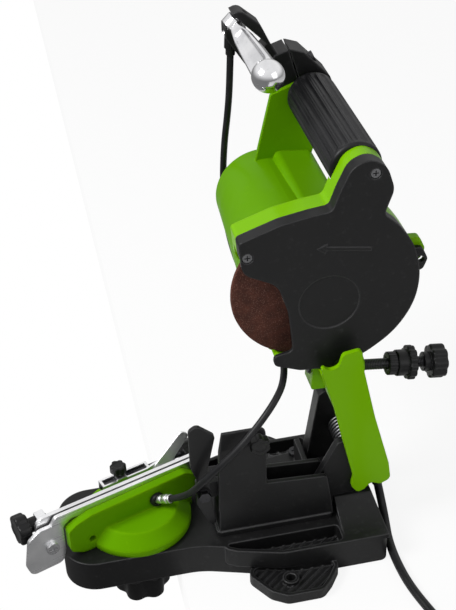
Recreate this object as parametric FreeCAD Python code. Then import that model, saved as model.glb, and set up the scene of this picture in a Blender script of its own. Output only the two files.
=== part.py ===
"""Electric chainsaw sharpener: a bench base, a turning chain vice and a swinging grinding head.

Millimetres, +Z up. The origin is midway between the two bench bolt holes, on the underside
of the base. +X runs to the rear of the machine, -Y is the operator's side and Y = 0 is the
plane of the grinding wheel and of the vice's turning axis. Each function makes one sub-part.
"""
import FreeCAD, Part
import math
import os

Vector = FreeCAD.Vector
AXIS_X = Vector(1, 0, 0)
AXIS_Y = Vector(0, 1, 0)
AXIS_Z = Vector(0, 0, 1)

# ---- clearances ----
BODY_GAP = 0.3            # between pieces that move past each other
RUNNING_FIT = 0.05        # radial clearance of a shaft that turns in its bore

# ---- base ----
BASE_FRONT = -157.0
BASE_REAR = 76.0
BASE_FRONT_HALF = 39.5    # half width beside the vice
BASE_REAR_HALF = 61.0     # half width beside the hinge
BASE_TOP = 25.5
BASE_WALL = 3.0
WING_REACH = 86.0         # from the centre line to the outer edge of a wing
WING_HEIGHT = 8.5
WING_FLOOR = 4.5
BOLT_SPACING = 138.0
BOLT_HOLE_RADIUS = 3.5
BOLT_RING_RADIUS = 6.0
TRAY_FLOOR = 13.0         # the ribbed recess beside the hinge block
TRAY_FRONT = -44.0
TRAY_REAR = 42.0
TRAY_INNER = 42.5
PEDESTAL_FRONT = 44.0
PEDESTAL_TOP = 38.0
PEDESTAL_HALF = 27.0

# ---- turning vice ----
VICE_X = -100.0           # turning axis
VICE_ANGLE = 19.0         # of the rail, from the X axis
FOOT_RADIUS = 40.4
FOOT_HEIGHT = 15.0
STUD_RADIUS = 5.0
RAIL_TOP = 62.5
RAIL_FRONT = -77.0
RAIL_REAR = 56.0
RAIL_SLOT = 1.6           # for the chain's drive links
PLATE_THICKNESS = 3.0
VICE_NEAR_FACE = -11.0
VICE_FAR_FACE = 17.0
VICE_WALL = 4.0
VICE_FRONT = -58.0
VICE_REAR = 47.0
VICE_TOP = 59.0
VICE_FLOOR = 32.0
VICE_FAR_TOP = 41.0
VICE_FAR_FRONT = -38.0

# ---- hinge and head ----
HINGE_X = 60.0
HINGE_Z = 71.0
PIN_RADIUS = 4.0
PIN_COVER = 1.0           # of the arm's near wall, over the pin's end
HEAD_TRAVEL = 58.5        # degrees from the parked pose to the depth stop
ARM_NEAR = -29.0
ARM_FAR = 34.0
ARM_WALL = 3.5
WHEEL_X = 30.5
WHEEL_Z = 210.0
WHEEL_RADIUS = 54.0
WHEEL_WIDTH = 3.2
WHEEL_BORE_RADIUS = 11.1
GUARD_FACE = -16.0
GUARD_WALL = 2.4
FLANGE_NEAR = 4.0
FLANGE_FAR = 9.0
RIM_NEAR = -6.0           # near edge of the casting's rim, where the guard meets it
MOTOR_NEAR_RADIUS = 42.5
MOTOR_FAR_RADIUS = 35.5
MOTOR_END = 140.0
MOTOR_WALL = 3.0
MOTOR_CAP = 5.0           # length of the bevelled end
VENT_CIRCLE = 24.5
SHOULDER_TOP = 252.0      # of the step beside the motor
SHOULDER_REAR = 66.0
SHAFT_RADIUS = 6.0

# ---- handle and clamp lever ----
HANDLE_X = 64.0
HANDLE_Z = 294.0
HANDLE_START = 3.0        # the tube ends behind the upper guard screw
HANDLE_END = 142.0
TUBE_RADIUS = 11.0
TUBE_WALL = 2.0
GRIP_NEAR = 5.0
GRIP_FAR = 117.0
GRIP_RADIUS = 18.0
CLAMP_NEAR = 121.0
CLAMP_FAR = 141.0
LEVER_PIVOT = Vector(11.5, 127.5, 349.5)

# ---- depth stop ----
STOP_SCREW_RADIUS = 4.0
STOP_Y = -4.0
STOP_TIP = Vector(29.0, STOP_Y, 144.2)
STOP_TAIL = Vector(126.0, STOP_Y, 131.9)

# ---- cords ----
CORD_RADIUS = 3.25
CABLE_RADIUS = 2.5
COIL_RADIUS = 48.0        # outside of the coiled length
COIL_WIDTH = 23.5
COIL_HEIGHT = 13.0
COIL_CENTRE = Vector(151.0, -172.5, 0)
PLUG_RADIUS = 9.0


def box(low, high):
    size = [b - a for a, b in zip(low, high)]
    return Part.makeBox(size[0], size[1], size[2], Vector(*low))


def rod(start, axis, radius, length):
    return Part.makeCylinder(radius, length, start, axis)


def pipe(start, axis, outer, inner, length):
    return rod(start, axis, outer, length).cut(rod(start, axis, inner, length))


def cone(start, axis, radius_start, radius_end, length):
    return Part.makeCone(radius_start, radius_end, length, start, axis)


def fuse(shapes):
    joined = shapes[0].multiFuse(shapes[1:])
    return joined.removeSplitter()


def cut(shape, tools):
    for tool in tools:
        shape = shape.cut(tool)
    return shape


def on_plane(plane, u, v, level):
    if plane == "XY":
        return Vector(u, v, level)
    if plane == "XZ":
        return Vector(u, level, v)
    return Vector(level, u, v)


def rounded_wire(points, plane, level):
    """A closed wire through (u, v, corner radius) points, with each corner as an arc."""
    edges = []
    starts = []
    count = len(points)
    for i in range(count):
        before = points[i - 1]
        here = points[i]
        after = points[(i + 1) % count]
        a = Vector(before[0] - here[0], before[1] - here[1], 0)
        b = Vector(after[0] - here[0], after[1] - here[1], 0)
        length_a = a.Length
        length_b = b.Length
        a.normalize()
        b.normalize()
        half = a.getAngle(b) / 2
        radius = here[2] if len(here) > 2 else 0.0
        back = min(radius / math.tan(half), 0.49 * length_a, 0.49 * length_b) if radius else 0.0
        if back < 0.01 or half > 1.56:
            corner = on_plane(plane, here[0], here[1], level)
            starts.append((corner, corner, corner))
            continue
        radius = back * math.tan(half)
        middle = (a + b).normalize()
        reach = radius / math.sin(half) - radius
        first = on_plane(plane, here[0] + a.x * back, here[1] + a.y * back, level)
        top = on_plane(plane, here[0] + middle.x * reach, here[1] + middle.y * reach, level)
        last = on_plane(plane, here[0] + b.x * back, here[1] + b.y * back, level)
        starts.append((first, top, last))
    for i in range(count):
        first, top, last = starts[i]
        following = starts[(i + 1) % count][0]
        if (first - last).Length > 0.001:
            edges.append(Part.Arc(first, top, last).toShape())
        if (last - following).Length > 0.001:
            edges.append(Part.LineSegment(last, following).toShape())
    return Part.Wire(edges)


def plate(points, plane, low, high):
    """A flat solid with the given outline, from level low to level high."""
    face = Part.Face(rounded_wire(points, plane, low))
    direction = {"XY": AXIS_Z, "XZ": AXIS_Y, "YZ": AXIS_X}[plane]
    return face.extrude(direction * (high - low))


def inset_plate(points, plane, low, high, inset):
    """Like plate, with the outline moved inwards."""
    face = Part.Face(rounded_wire(points, plane, low)).makeOffset2D(-inset)
    direction = {"XY": AXIS_Z, "XZ": AXIS_Y, "YZ": AXIS_X}[plane]
    return face.extrude(direction * (high - low))


def mirrored(points):
    """The outline closed by its mirror image across Y = 0, in the XY plane."""
    return points + [(p[0], -p[1], p[2]) for p in reversed(points)]


def both_sides(shape):
    return [shape, shape.mirror(Vector(0, 0, 0), AXIS_Y)]


def lobed_knob(start, axis, radius, height, lobes, lobe_depth):
    """A hand knob with round finger hollows around its edge."""
    knob = rod(start, axis, radius, height)
    side = axis.cross(AXIS_Z)
    if side.Length < 0.1:
        side = axis.cross(AXIS_X)
    side.normalize()
    across = axis.cross(side)
    hollow = math.pi * radius / lobes * 0.55
    for i in range(lobes):
        turn = 2 * math.pi * i / lobes
        out = side * math.cos(turn) + across * math.sin(turn)
        centre = start + out * (radius + hollow - lobe_depth)
        knob = knob.cut(rod(centre - axis, axis, hollow, height + 2))
    return knob


def pan_screw(seat, inward, shank_radius, shank_length, head_radius, head_height):
    """A screw whose head sits on seat and whose shank runs along inward."""
    head = rod(seat - inward * head_height, inward, head_radius, head_height)
    shank = rod(seat, inward, shank_radius, shank_length)
    slots = []
    side = inward.cross(AXIS_X) if abs(inward.x) < 0.5 else inward.cross(AXIS_Z)
    side.normalize()
    across = inward.cross(side)
    depth = head_height * 0.6
    for direction in (side, across):
        width = head_radius * 0.22
        length = head_radius * 1.1
        other = inward.cross(direction)
        corner = seat - inward * (head_height + 0.1) - direction * (length / 2) - other * (width / 2)
        slot = Part.Face(Part.makePolygon([
            corner, corner + direction * length, corner + direction * length + other * width,
            corner + other * width, corner]))
        slots.append(slot.extrude(inward * (depth + 0.1)))
    return cut(fuse([head, shank]), slots)


def hexagon(start, axis, across_flats, height):
    side = axis.cross(AXIS_Z)
    if side.Length < 0.1:
        side = axis.cross(AXIS_X)
    side.normalize()
    across = axis.cross(side)
    radius = across_flats / math.sqrt(3)
    corners = []
    for i in range(7):
        turn = math.pi / 3 * i
        corners.append(start + side * (radius * math.cos(turn)) + across * (radius * math.sin(turn)))
    return Part.Face(Part.makePolygon(corners)).extrude(axis * height)


def on_vice(shape):
    """Moves a shape from the rail's own frame to its place on the machine."""
    moved = shape.copy()
    moved.rotate(Vector(0, 0, 0), AXIS_Z, VICE_ANGLE)
    moved.translate(Vector(VICE_X, 0, 0))
    return moved


def swung(point, degrees):
    """Where a point of the head lies after the head has swung down."""
    angle = math.radians(degrees)
    x = point.x - HINGE_X
    z = point.z - HINGE_Z
    return Vector(HINGE_X + x * math.cos(angle) - z * math.sin(angle), point.y,
                  HINGE_Z + x * math.sin(angle) + z * math.cos(angle))


def cord_tube(name, points, radius):
    """A tube of straight runs joined by tangent arcs; prints its bend radii."""
    points = [Vector(*p) for p in points]
    edges = []
    here = points[0]
    radii = []
    length = 0.0
    for i in range(1, len(points) - 1):
        a = points[i - 1] - points[i]
        b = points[i + 1] - points[i]
        shorter = min(a.Length, b.Length)
        a.normalize()
        b.normalize()
        half = a.getAngle(b) / 2
        back = 0.45 * shorter
        bend = back * math.tan(half)
        radii.append(bend)
        first = points[i] + a * back
        last = points[i] + b * back
        middle = points[i] + (a + b).normalize() * (bend / math.sin(half) - bend)
        edges.append(Part.LineSegment(here, first).toShape())
        edges.append(Part.Arc(first, middle, last).toShape())
        here = last
    edges.append(Part.LineSegment(here, points[-1]).toShape())
    length = sum(e.Length for e in edges)
    path = Part.Wire(edges)
    start_direction = points[1] - points[0]
    profile = Part.Wire([Part.makeCircle(radius, points[0], start_direction)])
    tube = path.makePipeShell([profile], True, False)
    wanted = math.pi * radius ** 2 * length
    print(name, "length %.0f" % length, "radii", " ".join("%.0f" % r for r in radii),
          "volume ratio %.4f" % (tube.Volume / wanted), "valid", tube.isValid())
    return tube


# ======================= base =======================

BASE_OUTLINE = mirrored([
    (BASE_FRONT, -BASE_FRONT_HALF, 24),
    (-60, -BASE_FRONT_HALF, 60),
    (6, -BASE_REAR_HALF, 60),
    (BASE_REAR, -BASE_REAR_HALF, 6)])

WING_OUTLINE = [
    (-36, -BASE_REAR_HALF + 12, 10), (-17, -WING_REACH + 7, 10), (-6, -WING_REACH, 8),
    (20, -WING_REACH, 8), (28, -WING_REACH + 8, 10), (42, -BASE_REAR_HALF + 3, 12)]


def wing():
    body = plate(WING_OUTLINE, "XY", 0, WING_HEIGHT)
    pocket = inset_plate(WING_OUTLINE, "XY", WING_FLOOR, WING_HEIGHT, BASE_WALL)
    body = body.cut(pocket)
    ribs = []
    for i in range(-6, 7):
        rib = box((-60, -0.5, WING_FLOOR), (60, 0.5, WING_FLOOR + 1.2))
        rib.rotate(Vector(0, 0, 0), AXIS_Z, 38)
        rib.translate(Vector(i * 8.0, -BOLT_SPACING / 2, 0))
        ribs.append(rib.common(pocket))
    ring = rod(Vector(0, -BOLT_SPACING / 2, 0), AXIS_Z, BOLT_RING_RADIUS, WING_HEIGHT)
    hole = rod(Vector(0, -BOLT_SPACING / 2, -1), AXIS_Z, BOLT_HOLE_RADIUS, WING_HEIGHT + 2)
    return fuse([body, ring] + ribs).cut(hole)


def tray():
    """The walls and floor of one recess in the deck, and the recess itself."""
    outline = [(TRAY_FRONT, -TRAY_INNER, 3), (TRAY_FRONT + 10, -TRAY_INNER - 6, 6),
               (-2, -BASE_REAR_HALF + BASE_WALL, 20), (TRAY_REAR, -BASE_REAR_HALF + BASE_WALL, 3),
               (TRAY_REAR, -TRAY_INNER, 3)]
    hollow = plate(outline, "XY", TRAY_FLOOR, BASE_TOP + 1)
    walls = Part.Face(rounded_wire(outline, "XY", TRAY_FLOOR - BASE_WALL)).makeOffset2D(BASE_WALL)
    walls = walls.extrude(AXIS_Z * (BASE_TOP - TRAY_FLOOR + BASE_WALL))
    ribs = []
    for i in range(-5, 6):
        rib = box((-40, -0.5, TRAY_FLOOR), (40, 0.5, TRAY_FLOOR + 1.2))
        rib.rotate(Vector(0, 0, 0), AXIS_Z, 38)
        rib.translate(Vector(i * 8.0, -50, 0))
        ribs.append(rib.common(hollow))
    return walls, hollow, ribs


def pedestal():
    z = BASE_TOP
    top = PEDESTAL_TOP
    half = PEDESTAL_HALF
    foot = BASE_REAR_HALF
    near = Part.Arc(Vector(0, -foot, z), Vector(0, -half - 13, z + 3.6), Vector(0, -half, top))
    far = Part.Arc(Vector(0, half, top), Vector(0, half + 13, z + 3.6), Vector(0, foot, z))
    edges = [near.toShape(), Part.LineSegment(Vector(0, -half, top), Vector(0, half, top)).toShape(),
             far.toShape(), Part.LineSegment(Vector(0, foot, z), Vector(0, foot, z - 4)).toShape(),
             Part.LineSegment(Vector(0, foot, z - 4), Vector(0, -foot, z - 4)).toShape(),
             Part.LineSegment(Vector(0, -foot, z - 4), Vector(0, -foot, z)).toShape()]
    solid = Part.Face(Part.Wire(edges)).extrude(AXIS_X * (BASE_REAR - PEDESTAL_FRONT))
    solid.translate(Vector(PEDESTAL_FRONT, 0, 0))
    slope = Part.Face(Part.makePolygon([
        Vector(BASE_REAR - 4, 0, top + 1), Vector(BASE_REAR + 1, 0, top + 1),
        Vector(BASE_REAR + 1, 0, z), Vector(BASE_REAR, 0, z), Vector(BASE_REAR - 4, 0, top + 1)]))
    slope = slope.extrude(AXIS_Y * 160)
    slope.translate(Vector(0, -80, 0))
    return solid.cut(slope)


def base():
    deck = plate(BASE_OUTLINE, "XY", 0, BASE_TOP)
    hollow = inset_plate(BASE_OUTLINE, "XY", -1, BASE_TOP - BASE_WALL, BASE_WALL)
    block = pedestal()
    block_hollow = box((PEDESTAL_FRONT + BASE_WALL, -PEDESTAL_HALF + BASE_WALL, -1),
                       (BASE_REAR - 4 - BASE_WALL, PEDESTAL_HALF - BASE_WALL, PEDESTAL_TOP - BASE_WALL))
    walls, recess, ribs = tray()
    inside = []
    for x, y in BRACKET_BOLTS:
        inside.append(rod(Vector(x, y, 0), AXIS_Z, 6.5, BASE_TOP - 1))
    inside.append(rod(Vector(VICE_X, 0, 0), AXIS_Z, 15, BASE_TOP - 1))
    for x in (-125, -70, -40, 10):
        span = BASE_FRONT_HALF if x < -20 else 38
        inside.append(box((x - 1.5, -span + 1, 4), (x + 1.5, span - 1, BASE_TOP - 1)))
    shell = fuse([deck, block]).cut(hollow).cut(block_hollow)
    shell = fuse([shell] + both_sides(walls) + inside)
    shell = cut(shell, both_sides(recess))
    shell = fuse([shell] + [r for rib in ribs for r in both_sides(rib)] + both_sides(wing()))
    holes = [rod(Vector(VICE_X, 0, -1), AXIS_Z, STUD_RADIUS + RUNNING_FIT, BASE_TOP + 2)]
    for x, y in BRACKET_BOLTS:
        holes.append(rod(Vector(x, y, -1), AXIS_Z, 2.6, BASE_TOP + 2))
    for side in (-1, 1):
        holes.append(rod(Vector(30, side * 50.0, 0), AXIS_Z, BOLT_HOLE_RADIUS, BASE_TOP))
    return cut(shell, holes)


BRACKET_BOLTS = [(-1.0, -23.5), (17.0, -23.5), (-36.0, 22.0), (30.0, 35.0)]
BRACKET_FLANGE = 5.0
BLOCK_NEAR = -34.0
BLOCK_BACK = -13.5
BLOCK_WALL = 3.5
BLOCK_TOP = 67.0
TOWER_BACK = ARM_NEAR - 0.6   # the arm's near wall swings past the tower
TOWER_KNOB = Vector(-14.5, -43.5, 113.0)
TOWER_KNOB_HEIGHT = 7.0
TOWER_STEM = 2.5
PLATE_BOLT = Vector(-53.5, TOWER_BACK, 66.0)
PLATE_BOLT_RADIUS = 2.5
CHEEK_NEAR = (ARM_NEAR + ARM_WALL + 0.5, -19.0)
CHEEK_FAR = (18.0, ARM_FAR - ARM_WALL - 0.5)


def stop_column():
    """The post whose sloping face meets the depth screw when the head is down."""
    tip = swung(STOP_TIP, HEAD_TRAVEL)
    tail = swung(STOP_TAIL, HEAD_TRAVEL)
    along = (tip - tail).normalize()
    face = tip + along * BODY_GAP
    side = Vector(-along.z, 0, along.x)
    top = face + side * 7
    low = face - side * 7
    if top.z < low.z:
        top, low = low, top
    points = [(top.x, top.z), (low.x, low.z), (low.x + 2, BASE_TOP + 1), (top.x - 6, BASE_TOP + 1),
              (top.x - 5, top.z - 14), (top.x - 1.5, top.z - 2)]
    return plate(points, "XZ", STOP_Y - 9, STOP_Y + 9)


def bracket_block():
    """The walled block with its open trough, the tower over its front end and the bolt's lug."""
    top = BASE_TOP + BRACKET_FLANGE
    outline = [(-44, top - 1), (-43, BLOCK_TOP - 4, 4), (-10, BLOCK_TOP + 3, 2), (36, BLOCK_TOP, 3),
               (40, 40, 4), (41, top - 1)]
    block = plate(outline, "XZ", BLOCK_NEAR, BLOCK_BACK)
    inner_near = BLOCK_NEAR + BLOCK_WALL
    inner_far = BLOCK_BACK - BLOCK_WALL
    trough = box((-7, inner_near, top), (36.5, inner_far, BLOCK_TOP + 10))
    chamber = box((-40, inner_near, top), (-10, inner_far, BLOCK_TOP - 8))
    tower = plate([(-44, 50), (-42, 104, 3), (-39, 122, 4), (-20, 124, 5), (-8, 118, 5), (-9, 50)],
                  "XZ", BLOCK_NEAR, TOWER_BACK)
    slant = Part.Face(Part.makePolygon([
        Vector(-60, BLOCK_NEAR - 1, 104), Vector(-60, TOWER_BACK + 0.5, 121.5),
        Vector(-60, TOWER_BACK + 0.5, 140), Vector(-60, BLOCK_NEAR - 1, 140),
        Vector(-60, BLOCK_NEAR - 1, 104)])).extrude(AXIS_X * 80)
    lug = box((-58, TOWER_BACK + PLATE_THICKNESS, 59), (-42, TOWER_BACK + PLATE_THICKNESS + 6, 73))
    return [block.cut(trough).cut(chamber), tower.cut(slant), lug.cut(chamber)]


def hinge_cheeks():
    top = BASE_TOP + BRACKET_FLANGE
    foot = [(HINGE_X + 12, HINGE_Z + 6, 8), (66, 44, 4), (58, PEDESTAL_TOP + 0.3),
            (43.5, PEDESTAL_TOP + 0.3), (43.5, top - 1)]
    near_cheek = plate([(26, top - 1), (28, 52, 6), (46, 88, 6), (60, HINGE_Z + 20, 12)] + foot,
                       "XZ", CHEEK_NEAR[0], CHEEK_NEAR[1])
    far_cheek = plate([(33, top - 1), (44, 99, 2), (50, 103, 5), (62, 93, 12)] + foot,
                      "XZ", CHEEK_FAR[0], CHEEK_FAR[1])
    web = box((28, CHEEK_NEAR[0], BASE_TOP), (32, CHEEK_FAR[1], 50))
    return [near_cheek, far_cheek, web]


def hinge_bracket():
    top = BASE_TOP + BRACKET_FLANGE
    flange = plate([(-46, BLOCK_NEAR - 1, 4), (40, BLOCK_NEAR - 1, 3), (42, -28, 3), (42, 40, 6),
                    (-46, 28, 6)], "XY", BASE_TOP, top)
    shape = fuse([flange, stop_column()] + bracket_block() + hinge_cheeks())
    tools = [rod(Vector(HINGE_X, CHEEK_NEAR[0] - 1, HINGE_Z), AXIS_Y, PIN_RADIUS, 80)]
    for x, y in BRACKET_BOLTS:
        tools.append(rod(Vector(x, y, BASE_TOP - 1), AXIS_Z, 2.6, 20))
    tools.append(rod(TOWER_KNOB, AXIS_Y, TOWER_STEM + RUNNING_FIT, 20))
    tools.append(rod(PLATE_BOLT - AXIS_Y * 5, AXIS_Y, PLATE_BOLT_RADIUS + RUNNING_FIT, 20))
    return cut(shape, tools)


def bracket_bolts():
    top = BASE_TOP + BRACKET_FLANGE
    bolts = []
    for x, y in BRACKET_BOLTS:
        bolts.append(pan_screw(Vector(x, y, top), AXIS_Z * -1, 2.5, BRACKET_FLANGE + 18, 4.8, 3.2))
    return Part.makeCompound(bolts)


def tower_knob():
    """The small knob near the top of the tower; its stem turns in the tower's wall."""
    head = lobed_knob(TOWER_KNOB, AXIS_Y, 7.5, TOWER_KNOB_HEIGHT, 6, 1.3)
    collar_length = BLOCK_NEAR - BODY_GAP - TOWER_KNOB.y - TOWER_KNOB_HEIGHT
    seat = TOWER_KNOB + AXIS_Y * TOWER_KNOB_HEIGHT
    collar = rod(seat, AXIS_Y, 4.0, collar_length)
    stem = rod(seat, AXIS_Y, TOWER_STEM, TOWER_BACK - seat.y)
    return fuse([head, collar, stem])


def stop_plate():
    """The bent plate that stands beside the tower, bolted to the block's lug."""
    upright = plate([(-62, 92, 4), (-62, 125, 5), (-56, 129, 4), (-43.5, 118, 4), (-50, 88, 6),
                     (-48, 58, 6), (-45, 36, 2), (-50, 36, 2), (-59, 57, 6), (-58, 80, 5)],
                    "XZ", TOWER_BACK, TOWER_BACK + PLATE_THICKNESS)
    return upright.cut(rod(PLATE_BOLT - AXIS_Y, AXIS_Y, PLATE_BOLT_RADIUS + RUNNING_FIT, 10))


def stop_plate_bolt():
    washer = pipe(PLATE_BOLT - AXIS_Y, AXIS_Y, 5.0, PLATE_BOLT_RADIUS, 1.0)
    head = hexagon(PLATE_BOLT - AXIS_Y * 4.6, AXIS_Y, 8.0, 3.6)
    shank = rod(PLATE_BOLT - AXIS_Y * 1.2, AXIS_Y, PLATE_BOLT_RADIUS, 10)
    return fuse([washer, head, shank])


def hinge_pin():
    start = Vector(HINGE_X, ARM_NEAR + PIN_COVER + 0.2, HINGE_Z)
    return rod(start, AXIS_Y, PIN_RADIUS, ARM_FAR - start.y + 1.0)


SPRING_NEAR = CHEEK_NEAR[1] + BODY_GAP
SPRING_FAR = CHEEK_FAR[0] - BODY_GAP
SPRING_RADIUS = 9.5
SPRING_WIRE = 1.25


def torsion_spring():
    """The coil around the hinge pin, with one leg on the bracket and one on the arm."""
    coil = pipe(Vector(HINGE_X, SPRING_NEAR, HINGE_Z), AXIS_Y, SPRING_RADIUS,
                SPRING_RADIUS - 2 * SPRING_WIRE, SPRING_FAR - SPRING_NEAR)
    bracket_leg = Vector(-20, 0, -29.4).normalize()
    start = Vector(HINGE_X - 5.5, SPRING_FAR - 2 * SPRING_WIRE, HINGE_Z - 6.0)
    leg = rod(start, bracket_leg, SPRING_WIRE, 22.5)
    arm_leg_start = Vector(HINGE_X + SPRING_RADIUS - SPRING_WIRE, SPRING_NEAR + 2 * SPRING_WIRE, HINGE_Z)
    arm_leg = rod(arm_leg_start, Vector(-0.12, 0, 1).normalize(), SPRING_WIRE, 42)
    return fuse([coil, leg, arm_leg])


# ======================= vice =======================

PLATE_NEAR_BACK = -RAIL_SLOT / 2           # face of the near plate that forms the slot
PLATE_NEAR_FRONT = PLATE_NEAR_BACK - PLATE_THICKNESS
PLATE_FAR_FRONT = RAIL_SLOT / 2
PLATE_FAR_BACK = PLATE_FAR_FRONT + PLATE_THICKNESS
BUSH_X = 12.0
BUSH_Z = 48.0
BUSH_RADIUS = 4.5
CLAMP_X = 24.0                             # the clamp lever's pin, in the rail's frame
CLAMP_Y = 9.0
CLAMP_Z = 37.5
CLAMP_PIN = 2.0
STOP_NEAR = 26.2                           # the chain stop's slide, in the rail's frame
STOP_FAR = 34.8
STOP_LOW = 34.0
STOP_HIGH = 42.5
STOP_FRONT = -13.0
STOP_REAR = 27.0
FEED_Y = 30.5
FEED_Z = 39.5
FEED_RADIUS = 2.2
SLEEVE_AXIS = Vector(0.413, -0.798, 0.44).normalize()
SLEEVE_LENGTH = 14.0
END_BLOCK = (-73.0, -66.0)                 # the end knob's bracket
END_KNOB_X = -80.0
END_KNOB_Y = 12.0
END_KNOB_Z = 50.0
END_STEM = 3.0
END_SCREW = Vector(-69.5, PLATE_NEAR_FRONT, 37.0)
END_SCREW_RADIUS = 2.5
RAIL_SCREW_Z = 52.0
RAIL_HEAD = 2.0
RAIL_HEAD_RADIUS = 3.8
RAIL_SHANK = 5.5
PAWL_PIVOT = (34.0, 39.0)
PAWL_NEAR = 24.3
PAWL_THICKNESS = 1.6


def vice_body():
    low = BASE_TOP + BODY_GAP
    foot = rod(Vector(0, 0, low), AXIS_Z, FOOT_RADIUS, 5)
    dome = cone(Vector(0, 0, low + 5), AXIS_Z, FOOT_RADIUS, FOOT_RADIUS - 9, FOOT_HEIGHT - 5)
    beyond = box((-60, VICE_FAR_FACE, low + 5), (60, 60, 60))
    near_outline = [(VICE_FRONT, 32, 4), (VICE_FRONT, 51, 4), (-51, 55, 4), (-40, VICE_TOP - 1, 6),
                    (VICE_REAR - 10, VICE_TOP + 1, 4), (VICE_REAR, 54, 6), (VICE_REAR - 6, low + 6, 6),
                    (-27, low + 6, 3), (-33, low + 0.5, 2), (-48, low + 0.5, 5)]
    near_wall = plate(near_outline, "XZ", VICE_NEAR_FACE, PLATE_NEAR_FRONT)
    far_wall = box((VICE_FAR_FRONT, VICE_FAR_FACE - VICE_WALL, low + 2),
                   (VICE_REAR, VICE_FAR_FACE, VICE_FAR_TOP))
    floor = box((VICE_FAR_FRONT, VICE_NEAR_FACE, low + 2), (VICE_REAR - 6, VICE_FAR_FACE, VICE_FLOOR))
    pad = box((-10, VICE_FAR_FACE + 6, low + 4), (20, STOP_FAR, STOP_LOW - BODY_GAP))
    pocket = box((CLAMP_X - 12, 0, VICE_FLOOR), (CLAMP_X + 12, VICE_FAR_FACE - VICE_WALL, 60))
    bosses = []
    for side in (-1, 1):
        middle = CLAMP_X + side * 7.5
        bosses.append(box((middle - 1.5, PLATE_FAR_BACK + 1.4, VICE_FLOOR - 1),
                          (middle + 1.5, VICE_FAR_FACE - VICE_WALL, VICE_FAR_TOP)))
    body = fuse([foot, dome.cut(beyond), near_wall, far_wall, floor])
    slot = box((-80, PLATE_NEAR_FRONT, VICE_FLOOR), (80, PLATE_FAR_BACK + 1.1, 70))
    body = fuse([body.cut(pocket), pad] + bosses)
    tools = [slot, rod(Vector(0, 0, low - 1), AXIS_Z, STUD_RADIUS, 30),
             rod(Vector(-41, VICE_NEAR_FACE - 1, 36), AXIS_Y, 2.6, 20),
             rod(Vector(BUSH_X, VICE_NEAR_FACE - 1, BUSH_Z), AXIS_Y, BUSH_RADIUS, 8),
             rod(Vector(CLAMP_X - 12, CLAMP_Y, CLAMP_Z), AXIS_X, CLAMP_PIN, 24)]
    for x in RAIL_SCREWS:
        start = Vector(x, PLATE_NEAR_BACK - RAIL_HEAD - RAIL_SHANK, RAIL_SCREW_Z)
        tools.append(rod(start, AXIS_Y, SCREW_RADIUS, RAIL_SHANK))
    for x in GUIDE_PINS:
        start = Vector(x, PLATE_FAR_BACK, GUIDE_Z)
        reach = VICE_FAR_FACE - VICE_WALL - PLATE_FAR_BACK
        tools.append(rod(start, AXIS_Y, GUIDE_PIN_RADIUS + BODY_GAP, reach))
        tools.append(rod(start, AXIS_Y, GUIDE_PIN_RADIUS + RUNNING_FIT, reach + VICE_WALL + 1))
    return on_vice(cut(body, tools))


RAIL_SCREWS = (-30.0, 35.0)
GUIDE_PINS = (-28.0, 40.0)
GUIDE_Z = 37.0
GUIDE_PIN_RADIUS = 2.5


def turntable_stud():
    """The stud that the vice turns on; the lock knob pulls it down against the base."""
    return rod(Vector(VICE_X, 0, -36), AXIS_Z, STUD_RADIUS, 36 + VICE_FLOOR)


def rail_near_plate():
    """The fixed jaw, with the bracket for the end knob on its back."""
    outline = [(RAIL_REAR, 42), (RAIL_REAR, RAIL_TOP - 4, 3), (RAIL_REAR - 4, RAIL_TOP, 3),
               (-64, RAIL_TOP, 4), (-68, 56, 3), (-77, 56, 6), (-86, 50, 6), (-90, 27, 8), (-87, 18, 6),
               (-62, 19, 6), (-59.2, 29, 4), (-59.2, 52, 4), (-52, 56.5, 4), (-46, 56, 3), (-46, 42)]
    shape = plate(outline, "XZ", PLATE_NEAR_FRONT, PLATE_NEAR_BACK)
    arm = box((END_BLOCK[0], PLATE_NEAR_BACK, 30), (END_BLOCK[1], END_KNOB_Y + 4.5, 43.5))
    riser = box((END_BLOCK[0], END_KNOB_Y - 5.5, 30), (END_BLOCK[1], END_KNOB_Y + 4.5, END_KNOB_Z + 6))
    tools = [rod(END_SCREW - AXIS_Y, AXIS_Y, END_SCREW_RADIUS, 9),
             rod(Vector(-80, END_KNOB_Y, END_KNOB_Z), AXIS_X, END_STEM + RUNNING_FIT, 20)]
    for x in RAIL_SCREWS:
        tools.append(rod(Vector(x, PLATE_NEAR_FRONT - 1, RAIL_SCREW_Z), AXIS_Y, SCREW_RADIUS, 6))
        tools.append(rod(Vector(x, PLATE_NEAR_BACK - RAIL_HEAD, RAIL_SCREW_Z), AXIS_Y, RAIL_HEAD_RADIUS, 6))
    return on_vice(cut(fuse([shape, arm, riser]), tools))


def rail_far_plate():
    """The loose jaw: two guide pins carry it, and the clamp lever pushes it."""
    low = VICE_FLOOR + 1.5
    outline = [(RAIL_REAR, low), (RAIL_REAR, RAIL_TOP - 4, 3), (RAIL_REAR - 4, RAIL_TOP, 3),
               (RAIL_FRONT, RAIL_TOP, 8), (RAIL_FRONT - 2, 47, 6), (-50, 45, 6), (-42, low, 4)]
    shape = plate(outline, "XZ", PLATE_FAR_FRONT, PLATE_FAR_BACK)
    pins = []
    reach = VICE_FAR_FACE - PLATE_FAR_BACK - 0.6
    for x in GUIDE_PINS:
        pins.append(rod(Vector(x, PLATE_FAR_BACK, GUIDE_Z), AXIS_Y, GUIDE_PIN_RADIUS, reach))
    return on_vice(fuse([shape] + pins))


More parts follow.
